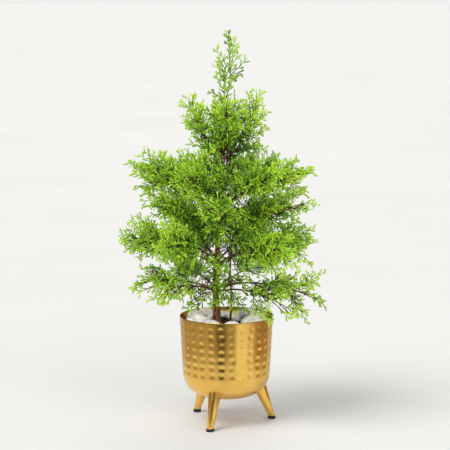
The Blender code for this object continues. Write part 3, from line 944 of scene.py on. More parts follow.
def spaced(line, stations):
    """That many points along a line, evenly spaced."""
    steps = [(b - a).length for a, b in zip(line, line[1:])]
    reached = np.concatenate([[0.0], np.cumsum(steps)])
    wanted = np.linspace(0.0, reached[-1], stations)
    rows = np.array([tuple(p) for p in line])
    return [Vector([float(np.interp(w, reached, rows[:, k])) for k in range(3)]) for w in wanted]


def tapered(radii, stations, power=1.0):
    start, end = radii
    return [end + (start - end) * (1 - i / (stations - 1)) ** power for i in range(stations)]


def trunk_parts():
    """Centre lines and radii of the trunk and of the second stem."""
    trunk = [POT_AXIS + p for p in smooth_course(TRUNK_COURSE[1:], STEM_STATIONS)]
    trunk.insert(0, POT_AXIS + Vector(TRUNK_COURSE[0]))
    trunk[0].xy = trunk[1].xy
    radii = tapered(TRUNK_RADII, len(trunk), TRUNK_TAPER)
    swell, height = ROOT_FLARE
    radii = [r + swell * math.exp(-(p.z - trunk[0].z) / height) for r, p in zip(radii, trunk)]
    second = [POT_AXIS + p for p in smooth_course(SECOND_COURSE[1:], STEM_STATIONS // 2)]
    second.insert(0, POT_AXIS + Vector(SECOND_COURSE[0]))
    second[0].xy = second[1].xy
    return (trunk, radii), (second, tapered(SECOND_RADII, len(second)))


trunk, second = trunk_parts()
print("trunk:", len(trunk[0]), "stations, leaning", round(1000 * (trunk[0][-1].x - trunk[0][0].x), 1), "mm")

# %% The plan of the limbs
# A tier of limbs: the heights of its roots and tips, the tips' reach to the left, to the right and to the
# other sides, the rise at root and tip in degrees, its longest shoot, its first turn, if it has boughs, and
# the rise that its shoots turn towards
Tier = namedtuple("Tier", "root tip reaches rises shoot turn bare goal")
TIERS = {
    "upper": Tier(0.430, 0.522, (0.060, 0.054, 0.054), (30, 60), 0.050, 0.0, False, 64.0),
    "shoulder": Tier(0.350, 0.414, (0.152, 0.135, 0.146), (38, 22), 0.070, 0.0, True, 48.0),
    "flank": Tier(0.306, 0.366, (0.150, 0.140, 0.152), (34, 12), 0.068, 30.0, False, 30.0),
    "middle": Tier(0.263, 0.298, (0.172, 0.140, 0.172), (28, -6), 0.070, 0.0, True, 8.0),
    "skirt": Tier(0.216, 0.226, (0.146, 0.161, 0.158), (20, -20), 0.062, 0.0, True, -4.0),
}
ROUND = ("right", "rear_right", "rear_left", "left", "front_left", "front_right")
SIDES = {"upper": ("right", "back", "left", "front")}
TIP_SHIFTS = {
    "upper_right": (0.0, 0.008),
    "skirt_right": (-3.0, -0.028),
    "skirt_left": (4.0, -0.002),
    "skirt_front_right": (16.0, -0.030),
    "skirt_front_left": (-10.0, -0.004),
}
SEED = 41
HEIGHT_JITTER = 0.005
TURN_JITTER = 5.0

Limb = namedtuple("Limb", "name tier azimuth root tip reach")


def limb_plans():
    """Every limb: its name and tier, its azimuth, the heights of its root and tip, and its reach."""
    rule = random.Random(SEED)
    plans = []
    for name, tier in TIERS.items():
        sides = SIDES.get(name, ROUND)
        for i, side in enumerate(sides):
            azimuth = 360.0 * i / len(sides) + tier.turn + rule.uniform(-TURN_JITTER, TURN_JITTER)
            reach = tier.reaches[{"left": 0, "right": 1}.get(side, 2)]
            swing, drop = TIP_SHIFTS.get(f"{name}_{side}", (0.0, 0.0))
            root = tier.root + rule.uniform(-HEIGHT_JITTER, HEIGHT_JITTER)
            tip = tier.tip + drop + rule.uniform(-HEIGHT_JITTER, HEIGHT_JITTER)
            plans.append(Limb(f"{name}_{side}", tier, azimuth + swing, root, tip, reach))
    return plans


plans = limb_plans()
print("limbs:", len(plans))

# %% The lines of the limbs
COLLAR = 0.002
LIMB_STATIONS = 12
SAMPLES = 100


def at_height(course, radii, height):
    heights = [p.z for p in course]
    centre = Vector([float(np.interp(height, heights, [p[k] for p in course])) for k in range(3)])
    return centre, float(np.interp(height, heights, radii))


def direction(azimuth, rise):
    azimuth, rise = math.radians(azimuth), math.radians(rise)
    level = math.cos(rise)
    return Vector((math.cos(azimuth) * level, math.sin(azimuth) * level, math.sin(rise)))


def bezier(a, b, c, d, stations):
    line = []
    for step in range(stations):
        t = step / (stations - 1)
        line.append(a * (1 - t) ** 3 + b * 3 * t * (1 - t) ** 2 + c * 3 * t * t * (1 - t) + d * t ** 3)
    return line


def limb_course(limb):
    """The line of one limb, from just clear of the bark to its furthest tip. It leaves the trunk level."""
    centre, radius = at_height(*trunk, limb.root)
    tip = POT_AXIS + direction(limb.azimuth, 0.0) * limb.reach
    tip.z = limb.tip
    outward = tip - centre
    outward.z = 0.0
    outward.normalize()
    heading = math.degrees(math.atan2(outward.y, outward.x))
    root = centre + outward * (radius + CLEAR)
    collar = root + outward * COLLAR
    third = (tip - collar).length / 3
    inner = collar + direction(heading, limb.tier.rises[0]) * third
    outer = tip - direction(heading, limb.tier.rises[1]) * third
    return [root] + spaced(bezier(collar, inner, outer, tip, 4 * LIMB_STATIONS), LIMB_STATIONS)


def length_of(line):
    return sum((b - a).length for a, b in zip(line, line[1:]))


def along(course, share):
    """The point at a share of a line's length, and the line's direction there."""
    fine = spaced(course, SAMPLES + 1)
    index = min(int(share * SAMPLES), SAMPLES - 1)
    a, b = fine[index], fine[index + 1]
    return a.lerp(b, share * SAMPLES - index), (b - a).normalized()


def stretch(course, start, end, stations):
    """The part of a line between two shares of its length. At the line's root, it keeps the collar."""
    found = [along(course, start + (end - start) * i / (stations - 1))[0] for i in range(stations)]
    if start == 0.0:
        found.insert(1, course[1])
    return found


courses = {limb.name: limb_course(limb) for limb in plans}
print("longest limb:", round(1000 * max(length_of(course) for course in courses.values())), "mm")

# %% [markdown]
# Red bark
#
# Cypress bark is thin, red brown and stringy. Its colour is noise that is stretched upwards, and a second
# noise lifts the mesh in ridges that run along each limb, with a swelling where another limb leaves it. A
# picture of bark would need unwrapping, and it would smear where a limb bends.

# %% Mix the bark
BARK_GRAIN = (900.0, 900.0, 110.0)


def bark_finish(name, dark, middle, light):
    finish = Finish(name, 0.85, specular=0.2)
    grain = finish.noise(1.0, detail=4.0, rough=0.6, place=finish.stretched(BARK_GRAIN))
    patches = finish.noise(0.006, detail=3.0)
    mix = finish.node("ShaderNodeMath", operation="ADD")
    finish.link(grain, mix.inputs[0])
    finish.link(patches, mix.inputs[1])
    finish.colour(finish.ramp(finish.span(mix.outputs["Value"], 0.0, 1.0, 0.7, 1.3),
                              (0.15, dark), (0.5, middle), (0.9, light)))
    finish.bump(grain, 0.0003, 0.8)
    return finish.material


bark = bark_finish("red_bark", (0.060, 0.024, 0.013), (0.19, 0.080, 0.043), (0.35, 0.18, 0.105))
twig_bark = bark_finish("twig_bark", (0.030, 0.014, 0.009), (0.075, 0.034, 0.020), (0.16, 0.085, 0.055))
print("bark finishes:", bark.name, "and", twig_bark.name)

# %% Tubes with bark
BARK_SIDES = 10
SECOND_SIDES, BOUGH_SIDES = 6, 5
RING_STEP = 0.0013
RIDGES = ((0.0016, 0.030, 0.10), (0.0007, 0.012, 0.05))
KNOTS = (0.0009, 0.0045)
TUBE_WELD = 1e-6
BARK_ANGLE = 60.0


def tube(name, course, radii, step=RING_STEP, sides=BARK_SIDES):
    """A round limb along a line. It is a curve with a bevel that becomes a mesh, with its caps welded."""
    stations = max(3, round(length_of(course) / step))
    reached = np.concatenate([[0.0], np.cumsum([(b - a).length for a, b in zip(course, course[1:])])])
    fine = spaced(course, stations)
    thick = np.interp(np.linspace(0.0, reached[-1], stations), reached, radii)
    bpy.ops.object.select_all(action="DESELECT")
    curve = bpy.data.curves.new(name, "CURVE")
    curve.dimensions = "3D"
    curve.bevel_depth = 1.0
    curve.bevel_resolution = sides
    curve.use_fill_caps = True
    line = curve.splines.new("POLY")
    line.points.add(stations - 1)
    for point, place, radius in zip(line.points, fine, thick):
        point.co = (*place, 1.0)
        point.radius = radius
    limb = bpy.data.objects.new(name, curve)
    bpy.context.scene.collection.objects.link(limb)
    only(limb)
    bpy.ops.object.convert(target="MESH")
    limb = bpy.context.object
    bpy.ops.object.mode_set(mode="EDIT")
    bpy.ops.mesh.select_all(action="SELECT")
    bpy.ops.mesh.remove_doubles(threshold=TUBE_WELD)
    bpy.ops.mesh.normals_make_consistent(inside=False)
    bpy.ops.object.mode_set(mode="OBJECT")
    return limb


def feet_on(starts, runs, places):
    """For each place, the nearest point on each stretch of line, and its share of that stretch."""
    offset = places[:, None, :] - starts[None, :, :]
    share = np.clip((offset * runs).sum(2) / (runs * runs).sum(1), 0.0, 1.0)
    return starts + share[:, :, None] * runs, share


def nearest_on(course, places):
    """For each place, the nearest point on a line, and how far along the line that is."""
    starts = np.array([tuple(p) for p in course[:-1]])
    runs = np.array([tuple(b - a) for a, b in zip(course, course[1:])])
    steps = np.linalg.norm(runs, axis=1)
    before = np.concatenate([[0.0], np.cumsum(steps)[:-1]])
    feet, share = feet_on(starts, runs, places)
    best = np.linalg.norm(places[:, None, :] - feet, axis=2).argmin(axis=1)
    rows = np.arange(len(places))
    return feet[rows, best], before[best] + share[rows, best] * steps[best]


def carve_bark(limb, course, knots=()):
    """Lifts the bark in ridges that run along the limb, and swells it where other limbs leave it."""
    places = points_of(limb)
    feet, reached = nearest_on(course, places)
    spokes = places - feet
    radii = np.linalg.norm(spokes, axis=1)
    outward = spokes / np.maximum(radii, TUBE_WELD)[:, None]
    lift = np.zeros(len(places))
    for i, (side, radius, far) in enumerate(zip(outward, radii, reached)):
        for width, length, share in RIDGES:
            spot = Vector(side) * (radius / width) + Vector((0.0, 0.0, far / length))
            lift[i] += share * radius * noise.noise(spot)
    swell, spread = KNOTS
    for knot in knots:
        gap = np.linalg.norm(places - np.array(knot), axis=1)
        lift += swell * np.exp(-(gap / spread) ** 2)
    set_points(limb, places + outward * np.where(radii > WELD, lift, 0.0)[:, None])


def bark_piece(name, node, course, radii, knots=(), sides=BARK_SIDES):
    piece = tube(name, course, radii, sides=sides)
    carve_bark(piece, course, knots)
    smooth(piece, BARK_ANGLE)
    dress(piece, bark, "bark", node)


bark_piece("trunk_bark", "trunk", *trunk, [courses[limb.name][0] for limb in plans])
bark_piece("second_stem_bark", "second_stem", *second, sides=SECOND_SIDES)

# %% Grow the bare boughs
BOUGH_SHARE = 0.25
BOUGH_STATIONS = 4
BOUGH_RADII = (0.0021, 0.0014)
TWIG_RADII = (0.0014, 0.0008)
BOUGH_SUNK = 0.0016
BOUGH_FLARE = 0.0007


def grow_bough(limb):
    """A bough from inside the bark to where its foliage starts, a little thicker at its root."""
    line = stretch(courses[limb.name], 0.0, BOUGH_SHARE, BOUGH_STATIONS)
    radii = tapered(BOUGH_RADII, len(line))
    radii[0] += BOUGH_FLARE
    line[0] = line[0] - (line[1] - line[0]).normalized() * BOUGH_SUNK
    bark_piece("limb_" + limb.name, "bough_" + limb.name, line, radii, sides=BOUGH_SIDES)


for limb in plans:
    if limb.tier.bare:
        grow_bough(limb)


# %% [markdown]
# The rule that the foliage grows by
#
# Each mass of foliage is one stem, the outer stretch of its limb. Side shoots leave it in turn, each a
# golden angle round from the one before, which is how most plants avoid shading themselves. Every mass
# keeps to its own space: a shoot that comes nearer to another limb than to its own is shortened or left out.
# The solids follow the same rule, with a toothed blade for each shoot, so the sprays land where they are.

# %% Who owns which space
LEAF_CLEAR = 0.0012
LEADER_COURSE = ((0.0045, 0.0, 0.543), (0.0112, 0.0, 0.570), (0.0134, 0.0, 0.600), (0.0096, 0.0, 0.629))
TUFT_TOP = Vector((0.026, -0.048, 0.338))
TUFT_PULLS = (Vector((0.0, -0.004, 0.024)), Vector((-0.004, 0.012, -0.016)))
TOP_STATIONS = 7


class Space:
    """A place belongs to the limb whose bark is nearest."""

    def __init__(self):
        self.starts, self.runs, self.radii, self.owners = [], [], [], []

    def add(self, owner, course, radii):
        for a, b, r in zip(course, course[1:], radii):
            self.starts.append(tuple(a))
            self.runs.append(tuple(b - a))
            self.radii.append(r)
            self.owners.append(owner)

    def margins(self, owner, places):
        """For each place, how much nearer it is to its own limb than to others, and its gap to the others."""
        places = np.array([tuple(p) for p in places])
        feet, _ = feet_on(np.array(self.starts), np.array(self.runs), places)
        gap = np.linalg.norm(places[:, None, :] - feet, axis=2) - np.array(self.radii)
        own = np.array([o == owner for o in self.owners])
        other = gap[:, ~own].min(axis=1)
        return other - gap[:, own].min(axis=1), other


def clears_planter(place):
    return place.z > RIM_HEIGHT + LEAF_CLEAR or (place - POT_AXIS).xy.length > RIM_RADIUS + LEAF_CLEAR


space = Space()
space.add("trunk", *trunk)
space.add("second_stem", *second)
for limb in plans:
    course = courses[limb.name]
    space.add(limb.name, course, tapered((BOUGH_RADII[0], TWIG_RADII[1]), len(course)))
rise = Vector((0.0, 0.0, CLEAR))
trunk_top, crest = trunk[0][-1], second[0][-1]
leader = smooth_course([trunk_top + rise, *LEADER_COURSE], TOP_STATIONS)
tuft = bezier(crest + rise, crest + TUFT_PULLS[0], TUFT_TOP + TUFT_PULLS[1], TUFT_TOP, 4 * TOP_STATIONS)
tuft = spaced(tuft, TOP_STATIONS)
space.add("leader", leader, tapered(TWIG_RADII, len(leader)))
space.add("second_tuft", tuft, tapered(TWIG_RADII, len(tuft)))
print("stretches of limb in the space rule:", len(space.owners))

# %% The shoots of a mass
SHOOT_SPAN = (0.04, 0.92)
LAST_ROOT = 0.97
GOLDEN_ANGLE = math.radians(137.5)
TURN_STRAY = 0.25
SHOOT_ANGLES = (78.0, 28.0)
PULL = 0.6
NEARLY_UPRIGHT = 0.1
SHOOT_BASE = 0.55
SHOOT_SWELL = 1.25
SHOOT_SIZES = (0.88, 1.08)
ROLLS = (0.6, 0.4)
SHORTER = (1.0, 0.8)
# The solids' blade: rib and teeth, one unit long and on one side, with its width and thickness
BLADE_RIB = (-0.02, 0.08, 0.55, 1.0)
BLADE_TEETH = ((0.22, 0.28), (0.34, 0.12), (0.52, 0.42), (0.62, 0.14), (0.84, 0.33))
BLADE_WIDTH = 0.94
BLADE_THICKNESS = 0.0016

Shoot = namedtuple("Shoot", "root way flat length share")


def blade_corners():
    root, inner, outer, tip = BLADE_RIB
    corners = [(root, 0.0, 0.0), (tip, 0.0, 0.0)]
    corners += [(x, 0.0, z) for z in (0.5, -0.5) for x in (inner, outer)]
    corners += [(x, side * y, 0.0) for side in (1.0, -1.0) for x, y in BLADE_TEETH]
    return [Vector(corner) for corner in corners]


def flat_of(way, roll):
    """The direction in a spray's plane that is square to its rib. At roll 0 the spray stands upright."""
    across = way.cross(Vector((0.0, 0.0, 1.0)))
    if across.length < NEARLY_UPRIGHT:
        across = way.orthogonal()
    across.normalize()
    return Matrix.Rotation(roll, 3, way) @ across.cross(way)


def drawn(way, place, goal):
    """A direction, turned towards the way that its tier grows: outwards, at a rise in degrees."""
    outward = place - at_height(*trunk, place.z)[0]
    outward.z = 0.0
    level = (outward.normalized() if outward.length > CLEAR else way) * math.cos(math.radians(goal))
    return (way + (level + Vector((0.0, 0.0, math.sin(math.radians(goal))))) * PULL).normalized()


def shoots(name, stem, tip, longest, count, goal):
    """The shoot rule: root, direction, roll, length and share of the stem, for each shoot of a mass."""
    rule = random.Random(f"{name} {SEED}")
    turn = rule.uniform(0.0, 2 * math.pi)
    first, last = SHOOT_SPAN
    found = []
    for i in range(count):
        share = (i + 0.5) / count
        place, heading = along(stem, first + (last - first) * share)
        turn += GOLDEN_ANGLE + rule.uniform(-TURN_STRAY, TURN_STRAY)
        side = Matrix.Rotation(turn, 3, heading) @ heading.orthogonal().normalized()
        fork = math.radians(SHOOT_ANGLES[0] + (SHOOT_ANGLES[1] - SHOOT_ANGLES[0]) * share)
        way = drawn(heading * math.cos(fork) + side * math.sin(fork), place + heading * longest / 2, goal)
        swell = math.sin(math.pi * min(1.0, share * SHOOT_SWELL))
        length = longest * (SHOOT_BASE + (1.0 - SHOOT_BASE) * swell) * rule.uniform(*SHOOT_SIZES)
        found.append((place, way, rule.gauss(0.0, ROLLS[0]), length, share))
    place = along(stem, LAST_ROOT)[0]
    found.append((place, (tip - place).normalized(), rule.gauss(0.0, ROLLS[1]), (tip - place).length, 1.0))
    return found


def fitted(name, found):
    """The shoots that have room, each as long as its blade in the solids is."""
    kept = []
    corners = blade_corners()
    for place, way, roll, length, share in found:
        flat = flat_of(way, roll)
        normal = way.cross(flat)
        for shorter in SHORTER:
            size = length * shorter
            wide, thick = flat * (size * BLADE_WIDTH), normal * BLADE_THICKNESS
            edge = [place + way * (c.x * size) + wide * c.y + thick * c.z for c in corners]
            edge += [a.lerp(b, 0.5) for a, b in zip(edge, edge[1:])]
            nearer, apart = space.margins(name, edge)
            if min(nearer.min(), apart.min()) > LEAF_CLEAR and all(clears_planter(p) for p in edge):
                kept.append(Shoot(place, way, flat, size, share))
                break
    return kept


print("corners of a blade that need room:", len(blade_corners()))

# %% [markdown]
# Sprays of scale leaves
#
# A cypress has no needles. Its leaves are tiny scales that hug thin, flat fingers, and the fingers fork again
# and again in one plane. So a spray is a rib with side plumes that shorten towards its tip, and a plume is
# a rib with fingers on both sides in turn, some of them forked. The finger is the repeated shape: a slim,
# flat club of sixteen faces, widest near its end. Ribs are chains of slimmer fingers, which look jointed, as
# the scales do. One plume in a few hundred is dead, and has the colour of rust.
#
# Arrays hold each finger's two ends and the way it lies. The mesh is worked out from them in one go,
# because tens of thousands of separate objects would be slow.

# %% A store for fingers
FINGER_WIDTH = 0.0027
FINGER_THICKNESS = 0.55
# Its two rings of four points: how far along it they are, and how wide
FINGER_RINGS = ((0.42, 0.78), (0.86, 1.0))
# The columns of a table of fingers
START, END, NORMAL, WIDTH, SHADE = slice(0, 3), slice(3, 6), slice(6, 9), slice(9, 10), 10
TINY = 1e-9


class Fingers:
    """Collects fingers: their ends, the normal of their spray, their width, and how light they are."""

    def __init__(self):
        self.rows = []

    def add(self, start, end, normal, width, shade):
        self.rows.append((*start, *end, *normal, width, shade))

    def table(self):
        return np.array(self.rows).reshape(-1, SHADE + 1)


def finger_faces():
    """The faces of one finger: its start is point 0, its rings are points 1 to 8, and its end is point 9."""
    faces = []
    for i in range(4):
        j = (i + 1) % 4
        faces += [(0, 1 + j, 1 + i), (1 + i, 1 + j, 5 + j), (1 + i, 5 + j, 5 + i), (9, 5 + i, 5 + j)]
    return np.array(faces)


def unit(rows):
    return rows / np.maximum(np.linalg.norm(rows, axis=1), TINY)[:, None]


def finger_mesh(name, rows):
    """One mesh for all the fingers of a table."""
    start, end, width = rows[:, START], rows[:, END], rows[:, WIDTH]
    run = end - start
    across = unit(np.cross(rows[:, NORMAL], run))
    over = unit(np.cross(run, across))
    points = [start]
    for far, share in FINGER_RINGS:
        wide, thick = across * width * share / 2, over * width * share * FINGER_THICKNESS / 2
        middle = start + run * far
        points += [middle + wide, middle + thick, middle - wide, middle - thick]
    points = np.stack(points + [end], axis=1)
    firsts = np.arange(len(rows))[:, None, None] * points.shape[1]
    fingers = mesh_piece(name, points.reshape(-1, 3), (finger_faces() + firsts).reshape(-1, 3))
    fingers.data.polygons.foreach_set("use_smooth", np.ones(len(fingers.data.polygons), dtype=bool))
    return fingers


print("faces of a finger:", len(finger_faces()))

# %% How a rib runs
RIB_WIDTH = 0.0021
RIB_LINK = 0.0085
# How far a link of the rib reaches into the next, and how a rib thins and lightens towards its tip
LINK_REACH, RIB_TAPER, RIB_LIGHTER = 1.3, 0.25, 0.15
# How a rib bends sideways, cups and sags, as shares of its length
BENDS, CUPS, SAG = (-0.10, 0.10), (-0.12, 0.08), 0.04
# How far ahead a rib's direction is measured, and how much the angles that leave it differ
LOOK_AHEAD, ANGLE_STRAY = 0.02, 4.0

# What grows: its name, the rise that it turns towards, its random rule, and where its fingers and twigs go
Mass = namedtuple("Mass", "name goal rule leaves wood")


def bent_rib(rule, root, way, flat, normal, length):
    """The line of a rib, which bends a little and sags, as a function of the share along it."""
    bend, cup = rule.uniform(*BENDS), rule.uniform(*CUPS)
    pull = flat * bend + normal * cup + Vector((0.0, 0.0, -SAG))

    def rib(share):
        return root + (way * share + pull * share * share) * length

    return rib


def lay_rib(mass, rib, normal, length, width, shade, stalk):
    """A chain of slim fingers along a rib. It is brown wood up to a share of its length."""
    links = max(2, round(length / RIB_LINK))
    for i in range(links):
        store = mass.wood if i / links < stalk else mass.leaves
        end = rib(min(1.0, (i + LINK_REACH) / links))
        thinner = width * (1.0 - RIB_TAPER * i / links)
        store.add(rib(i / links), end, normal, thinner, shade + RIB_LIGHTER * i / links)


def leave_rib(rule, rib, flat, normal, share, side, angles, stray):
    """The direction in which something leaves a rib on one side, and the direction square to it."""
    forward = (rib(share + LOOK_AHEAD) - rib(share)).normalized()
    angle = math.radians(angles[0] + (angles[1] - angles[0]) * share + rule.gauss(0.0, ANGLE_STRAY))
    heading = forward * math.cos(angle) + flat * (side * math.sin(angle)) + normal * rule.gauss(0.0, stray)
    return heading.normalized(), flat * math.cos(angle) - forward * (side * math.sin(angle))


straight = bent_rib(random.Random(SEED), Vector(), Vector((1.0, 0.0, 0.0)), Vector(), Vector(), 1.0)
print("a rib 1 m long sags by", round(-1000 * straight(1.0).z), "mm at its tip")

# %% How a plume forks
FINGER_LENGTH = 0.0106
FINGER_STEP = 0.0036
FINGER_START = 0.0030
FINGER_ANGLES = (38.0, 27.0)
FINGER_STRAY = 0.10
FINGER_SIZES = (0.8, 1.2)
# How long the fingers are at a plume's ends, and how much longer at its middle
FINGER_BASE, FINGER_SWELL = 0.72, 0.38
# Some fingers fork: how many, where the shorter finger leaves, its size, how far it turns, and by how much
# that differs, and its width and how much lighter it is
FORKED = 0.42
FORK = (0.36, 0.56, 30.0, 6.0)
FORK_WIDTH, FORK_LIGHTER = 0.9, 0.05
# A plume's rib is slimmer than a spray's. It ends with one finger: where it starts, and how far it sticks
# out
PLUME_RIB = 0.85
LAST_FINGER, LAST_FINGER_OUT = 0.92, 0.003
PLUME_END = 0.002
STEP_SPREAD = (0.85, 1.15)
# How much lighter the fingers are towards a plume's tip, and the last one
FINGER_LIGHTER, LAST_FINGER_LIGHTER = 0.20, 0.28
# Dead plumes: how many, and the shade that marks them
DEAD_SHARE, DEAD = 0.004, -50.0


def grow_finger(mass, root, heading, across, normal, size, shade):
    rule = mass.rule
    mass.leaves.add(root, root + heading * size, normal, FINGER_WIDTH, shade)
    if rule.random() < FORKED:
        share, part, spread, stray = FORK
        turn = math.radians(spread + rule.gauss(0.0, stray))
        way = heading * math.cos(turn) + across * (rule.choice((-1.0, 1.0)) * math.sin(turn))
        start = root + heading * (size * share)
        end = start + way * (size * part)
        mass.leaves.add(start, end, normal, FINGER_WIDTH * FORK_WIDTH, shade + FORK_LIGHTER)


def grow_plume(mass, rib, flat, normal, length, shade, stalk=0.0):
    """A rib with fingers on both sides in turn. A few are dead."""
    rule = mass.rule
    if rule.random() < DEAD_SHARE:
        shade = DEAD
    lay_rib(mass, rib, normal, length, RIB_WIDTH * PLUME_RIB, shade, stalk)
    side = rule.choice((-1.0, 1.0))
    place = FINGER_START
    while place < length - PLUME_END:
        share = place / length
        side = -side
        heading, across = leave_rib(rule, rib, flat, normal, share, side, FINGER_ANGLES, FINGER_STRAY)
        swell = FINGER_BASE + FINGER_SWELL * math.sin(math.pi * share)
        size = FINGER_LENGTH * swell * rule.uniform(*FINGER_SIZES)
        grow_finger(mass, rib(share), heading, across, normal, size, shade + FINGER_LIGHTER * share)
        place += FINGER_STEP * rule.uniform(*STEP_SPREAD)
    tip, before = rib(1.0), rib(LAST_FINGER)
    end = tip + (tip - before).normalized() * LAST_FINGER_OUT
    mass.leaves.add(before, end, normal, FINGER_WIDTH, shade + LAST_FINGER_LIGHTER)

print("a finger on a plume every", 1000 * FINGER_STEP, "mm or so")

# %% How a spray forks
PLUME_STEP = 0.0058
PLUME_SPAN = (0.06, 0.84)
PLUME_REACH = 0.50
PLUME_ANGLES = (40.0, 27.0)
PLUME_STRAY = 0.10
PLUME_SIZES = (0.78, 1.12)
# A spray's outline: its share of the full width at the root, how fast it widens, and how it narrows again
OUTLINE = (0.5, 1.4, 0.75)
SHORTEST_PLUME = 0.0110
# How much of a spray's rib and of a plume's rib is brown, and how far its last plume reaches past its end
STALK, PLUME_STALK = 0.3, 0.12
SPRAY_OUT = 0.004
# How much lighter the plumes are towards a spray's tip, the last one, and the fingers where a plume would be
# too short; and how much one plume differs from the next
PLUME_LIGHTER, LAST_PLUME_LIGHTER, LONE_LIGHTER = 0.18, 0.22, 0.1
PLUME_MOOD = 0.05


def grow_spray(mass, root, way, flat, length, shade, bare=0.0, stalk=STALK):
    """A rib with plumes on both sides in turn, all in one plane, as wide as the solids' blade."""
    rule = mass.rule
    normal = way.cross(flat).normalized()
    rib = bent_rib(rule, root, way, flat, normal, length)
    lay_rib(mass, rib, normal, length, RIB_WIDTH, shade, max(bare, stalk))
    side = rule.choice((-1.0, 1.0))
    first, last = PLUME_SPAN
    width, widening, narrowing = OUTLINE
    place = max(first, bare) * length
    while place < last * length:
        share = place / length
        side = -side
        heading, across = leave_rib(rule, rib, flat, normal, share, side, PLUME_ANGLES, PLUME_STRAY)
        swell = min(1.0, width + widening * share) * (1.0 - share) ** narrowing
        size = length * PLUME_REACH * swell * rule.uniform(*PLUME_SIZES)
        tint = shade + PLUME_LIGHTER * share + rule.gauss(0.0, PLUME_MOOD)
        if size < SHORTEST_PLUME:
            grow_finger(mass, rib(share), heading, across, normal, SHORTEST_PLUME, tint + LONE_LIGHTER)
        else:
            side_rib = bent_rib(rule, rib(share), heading, across, normal, size)
            grow_plume(mass, side_rib, across, normal, size, tint, PLUME_STALK)
        place += PLUME_STEP * rule.uniform(*STEP_SPREAD)
    reach = length * (1.0 - last) + SPRAY_OUT
    outer = bent_rib(rule, rib(last), (rib(1.0) - rib(last)).normalized(), flat, normal, reach)
    grow_plume(mass, outer, flat, normal, reach, shade + LAST_PLUME_LIGHTER)


sample = Mass("sample", 0.0, random.Random(SEED), Fingers(), Fingers())
grow_spray(sample, Vector(), Vector((1.0, 0.0, 0.0)), Vector((0.0, 0.0, 1.0)), 0.06, 0.5)
print("fingers in a spray of 60 mm:", len(sample.leaves.rows))

# %% [markdown]
# Filling the masses
#
# On the plant each limb is a cloud of sprays that lie at all angles, dense at its middle and loose at its
# edge. More of the main shoots would fill it, but they would also make its outline heavy. So the main shoots
# stay as few as in the solids. Smaller sprays leave them out of their plane, and finer shoots fill the space
# between them and stand on the trunk, each only where it has room. Old growth near the trunk is darker than
# young growth at the tips.

# %% How light the growth is
# The crown's half width at some heights
WIDTH_HEIGHTS = (0.20, 0.30, 0.42, 0.50, 0.54, 0.63)
HALF_WIDTHS = (0.16, 0.17, 0.14, 0.06, 0.035, 0.02)
INNER_SHADE, OUTER_SHADE = 0.10, 0.46
# Between two heights the sprays are painted lighter towards the top: painted light, for the light that shines
# through the thin top sprays
PAINTED_TOP_LIGHT, PAINTED_LIGHT_HEIGHTS = 0.05, (0.43, 0.56)
# How much one shoot, or one side spray, is lighter or darker than the next
MOOD, SIDE_MOOD = 0.10, 0.04


def outwardness(place):
    """How far out in the crown a place is: 0 at the trunk, and 1 at the outline of its height."""
    centre, _ = at_height(*trunk, place.z)
    widest = np.interp(place.z, WIDTH_HEIGHTS, HALF_WIDTHS)
    return min(1.0, (place - centre).xy.length / float(widest))


def shade_at(place, mood):
    """Lighter outwards, where the growth is younger, and towards the top, where the lightening is painted
    light.
    """
    # Painted light: the higher the place, the lighter its sprays are painted
    height = float(np.interp(place.z, PAINTED_LIGHT_HEIGHTS, (0.0, 1.0)))
    return INNER_SHADE + (OUTER_SHADE - INNER_SHADE) * outwardness(place) + PAINTED_TOP_LIGHT * height + mood


print("shade at the leader's tip:", round(shade_at(leader[-1], 0.0), 2))

# %% Side sprays and finer shoots
# Side sprays as (share of the shoot where they leave it, share of its length)
SIDE_SPRAYS = ((0.15, 0.72), (0.34, 0.64), (0.52, 0.5))
OUTER_SIDE_SPRAYS = ((0.22, 0.66),)
FINE_SIDE_SPRAYS = ((0.20, 0.74), (0.42, 0.6))
# The angles at which side sprays and fine shoots leave, in degrees, and how much they differ
SIDE_FORK, FINE_FORK, FORK_STRAY = 38.0, 50.0, 8.0
SIDE_LEAN = 0.6
SIDE_ROLL, FINE_ROLL = 0.7, 0.9
SIDE_SIZES, FINE_SIZES, TRUNK_SIZES = (0.85, 1.1), (0.8, 1.15), (0.8, 1.2)
SIDE_ROOM = -0.012
# Places on the edge of a spray, far along it and wide of its rib, where its room is measured
SPRAY_EDGE = ((0.5, 0.3), (0.5, -0.3), (0.75, 0.0), (1.0, 0.0))
TRUNK_SPRAY_EDGE = ((0.4, 0.2), (0.4, -0.2), (0.75, 0.0), (1.0, 0.0))
# Where along a spray its shade is measured
SIDE_TINT_SHARE, FINE_TINT_SHARE = 0.75, 0.6
# The trunk's own shoots: length, step up the trunk, how far out they root, how much of each is bare, and how
# much their rise differs
TRUNK_SHOOT = 0.050
TRUNK_SHOOT_STEP = 0.0032
TRUNK_SUNK, TRUNK_SHOOT_BARE, RISE_STRAY = 0.8, 0.2, 20.0


def edge_of(root, way, flat, length, outline):
    return [root + way * length * far + flat * length * wide for far, wide in outline]


def has_room(name, root, way, flat, length):
    """Whether a spray may grow here: it may lean a little into the next space, but touches no limb."""
    edge = edge_of(root, way, flat, length, SPRAY_EDGE)
    nearer, apart = space.margins(name, edge)
    return nearer.min() > SIDE_ROOM and apart.min() > LEAF_CLEAR and all(clears_planter(p) for p in edge)


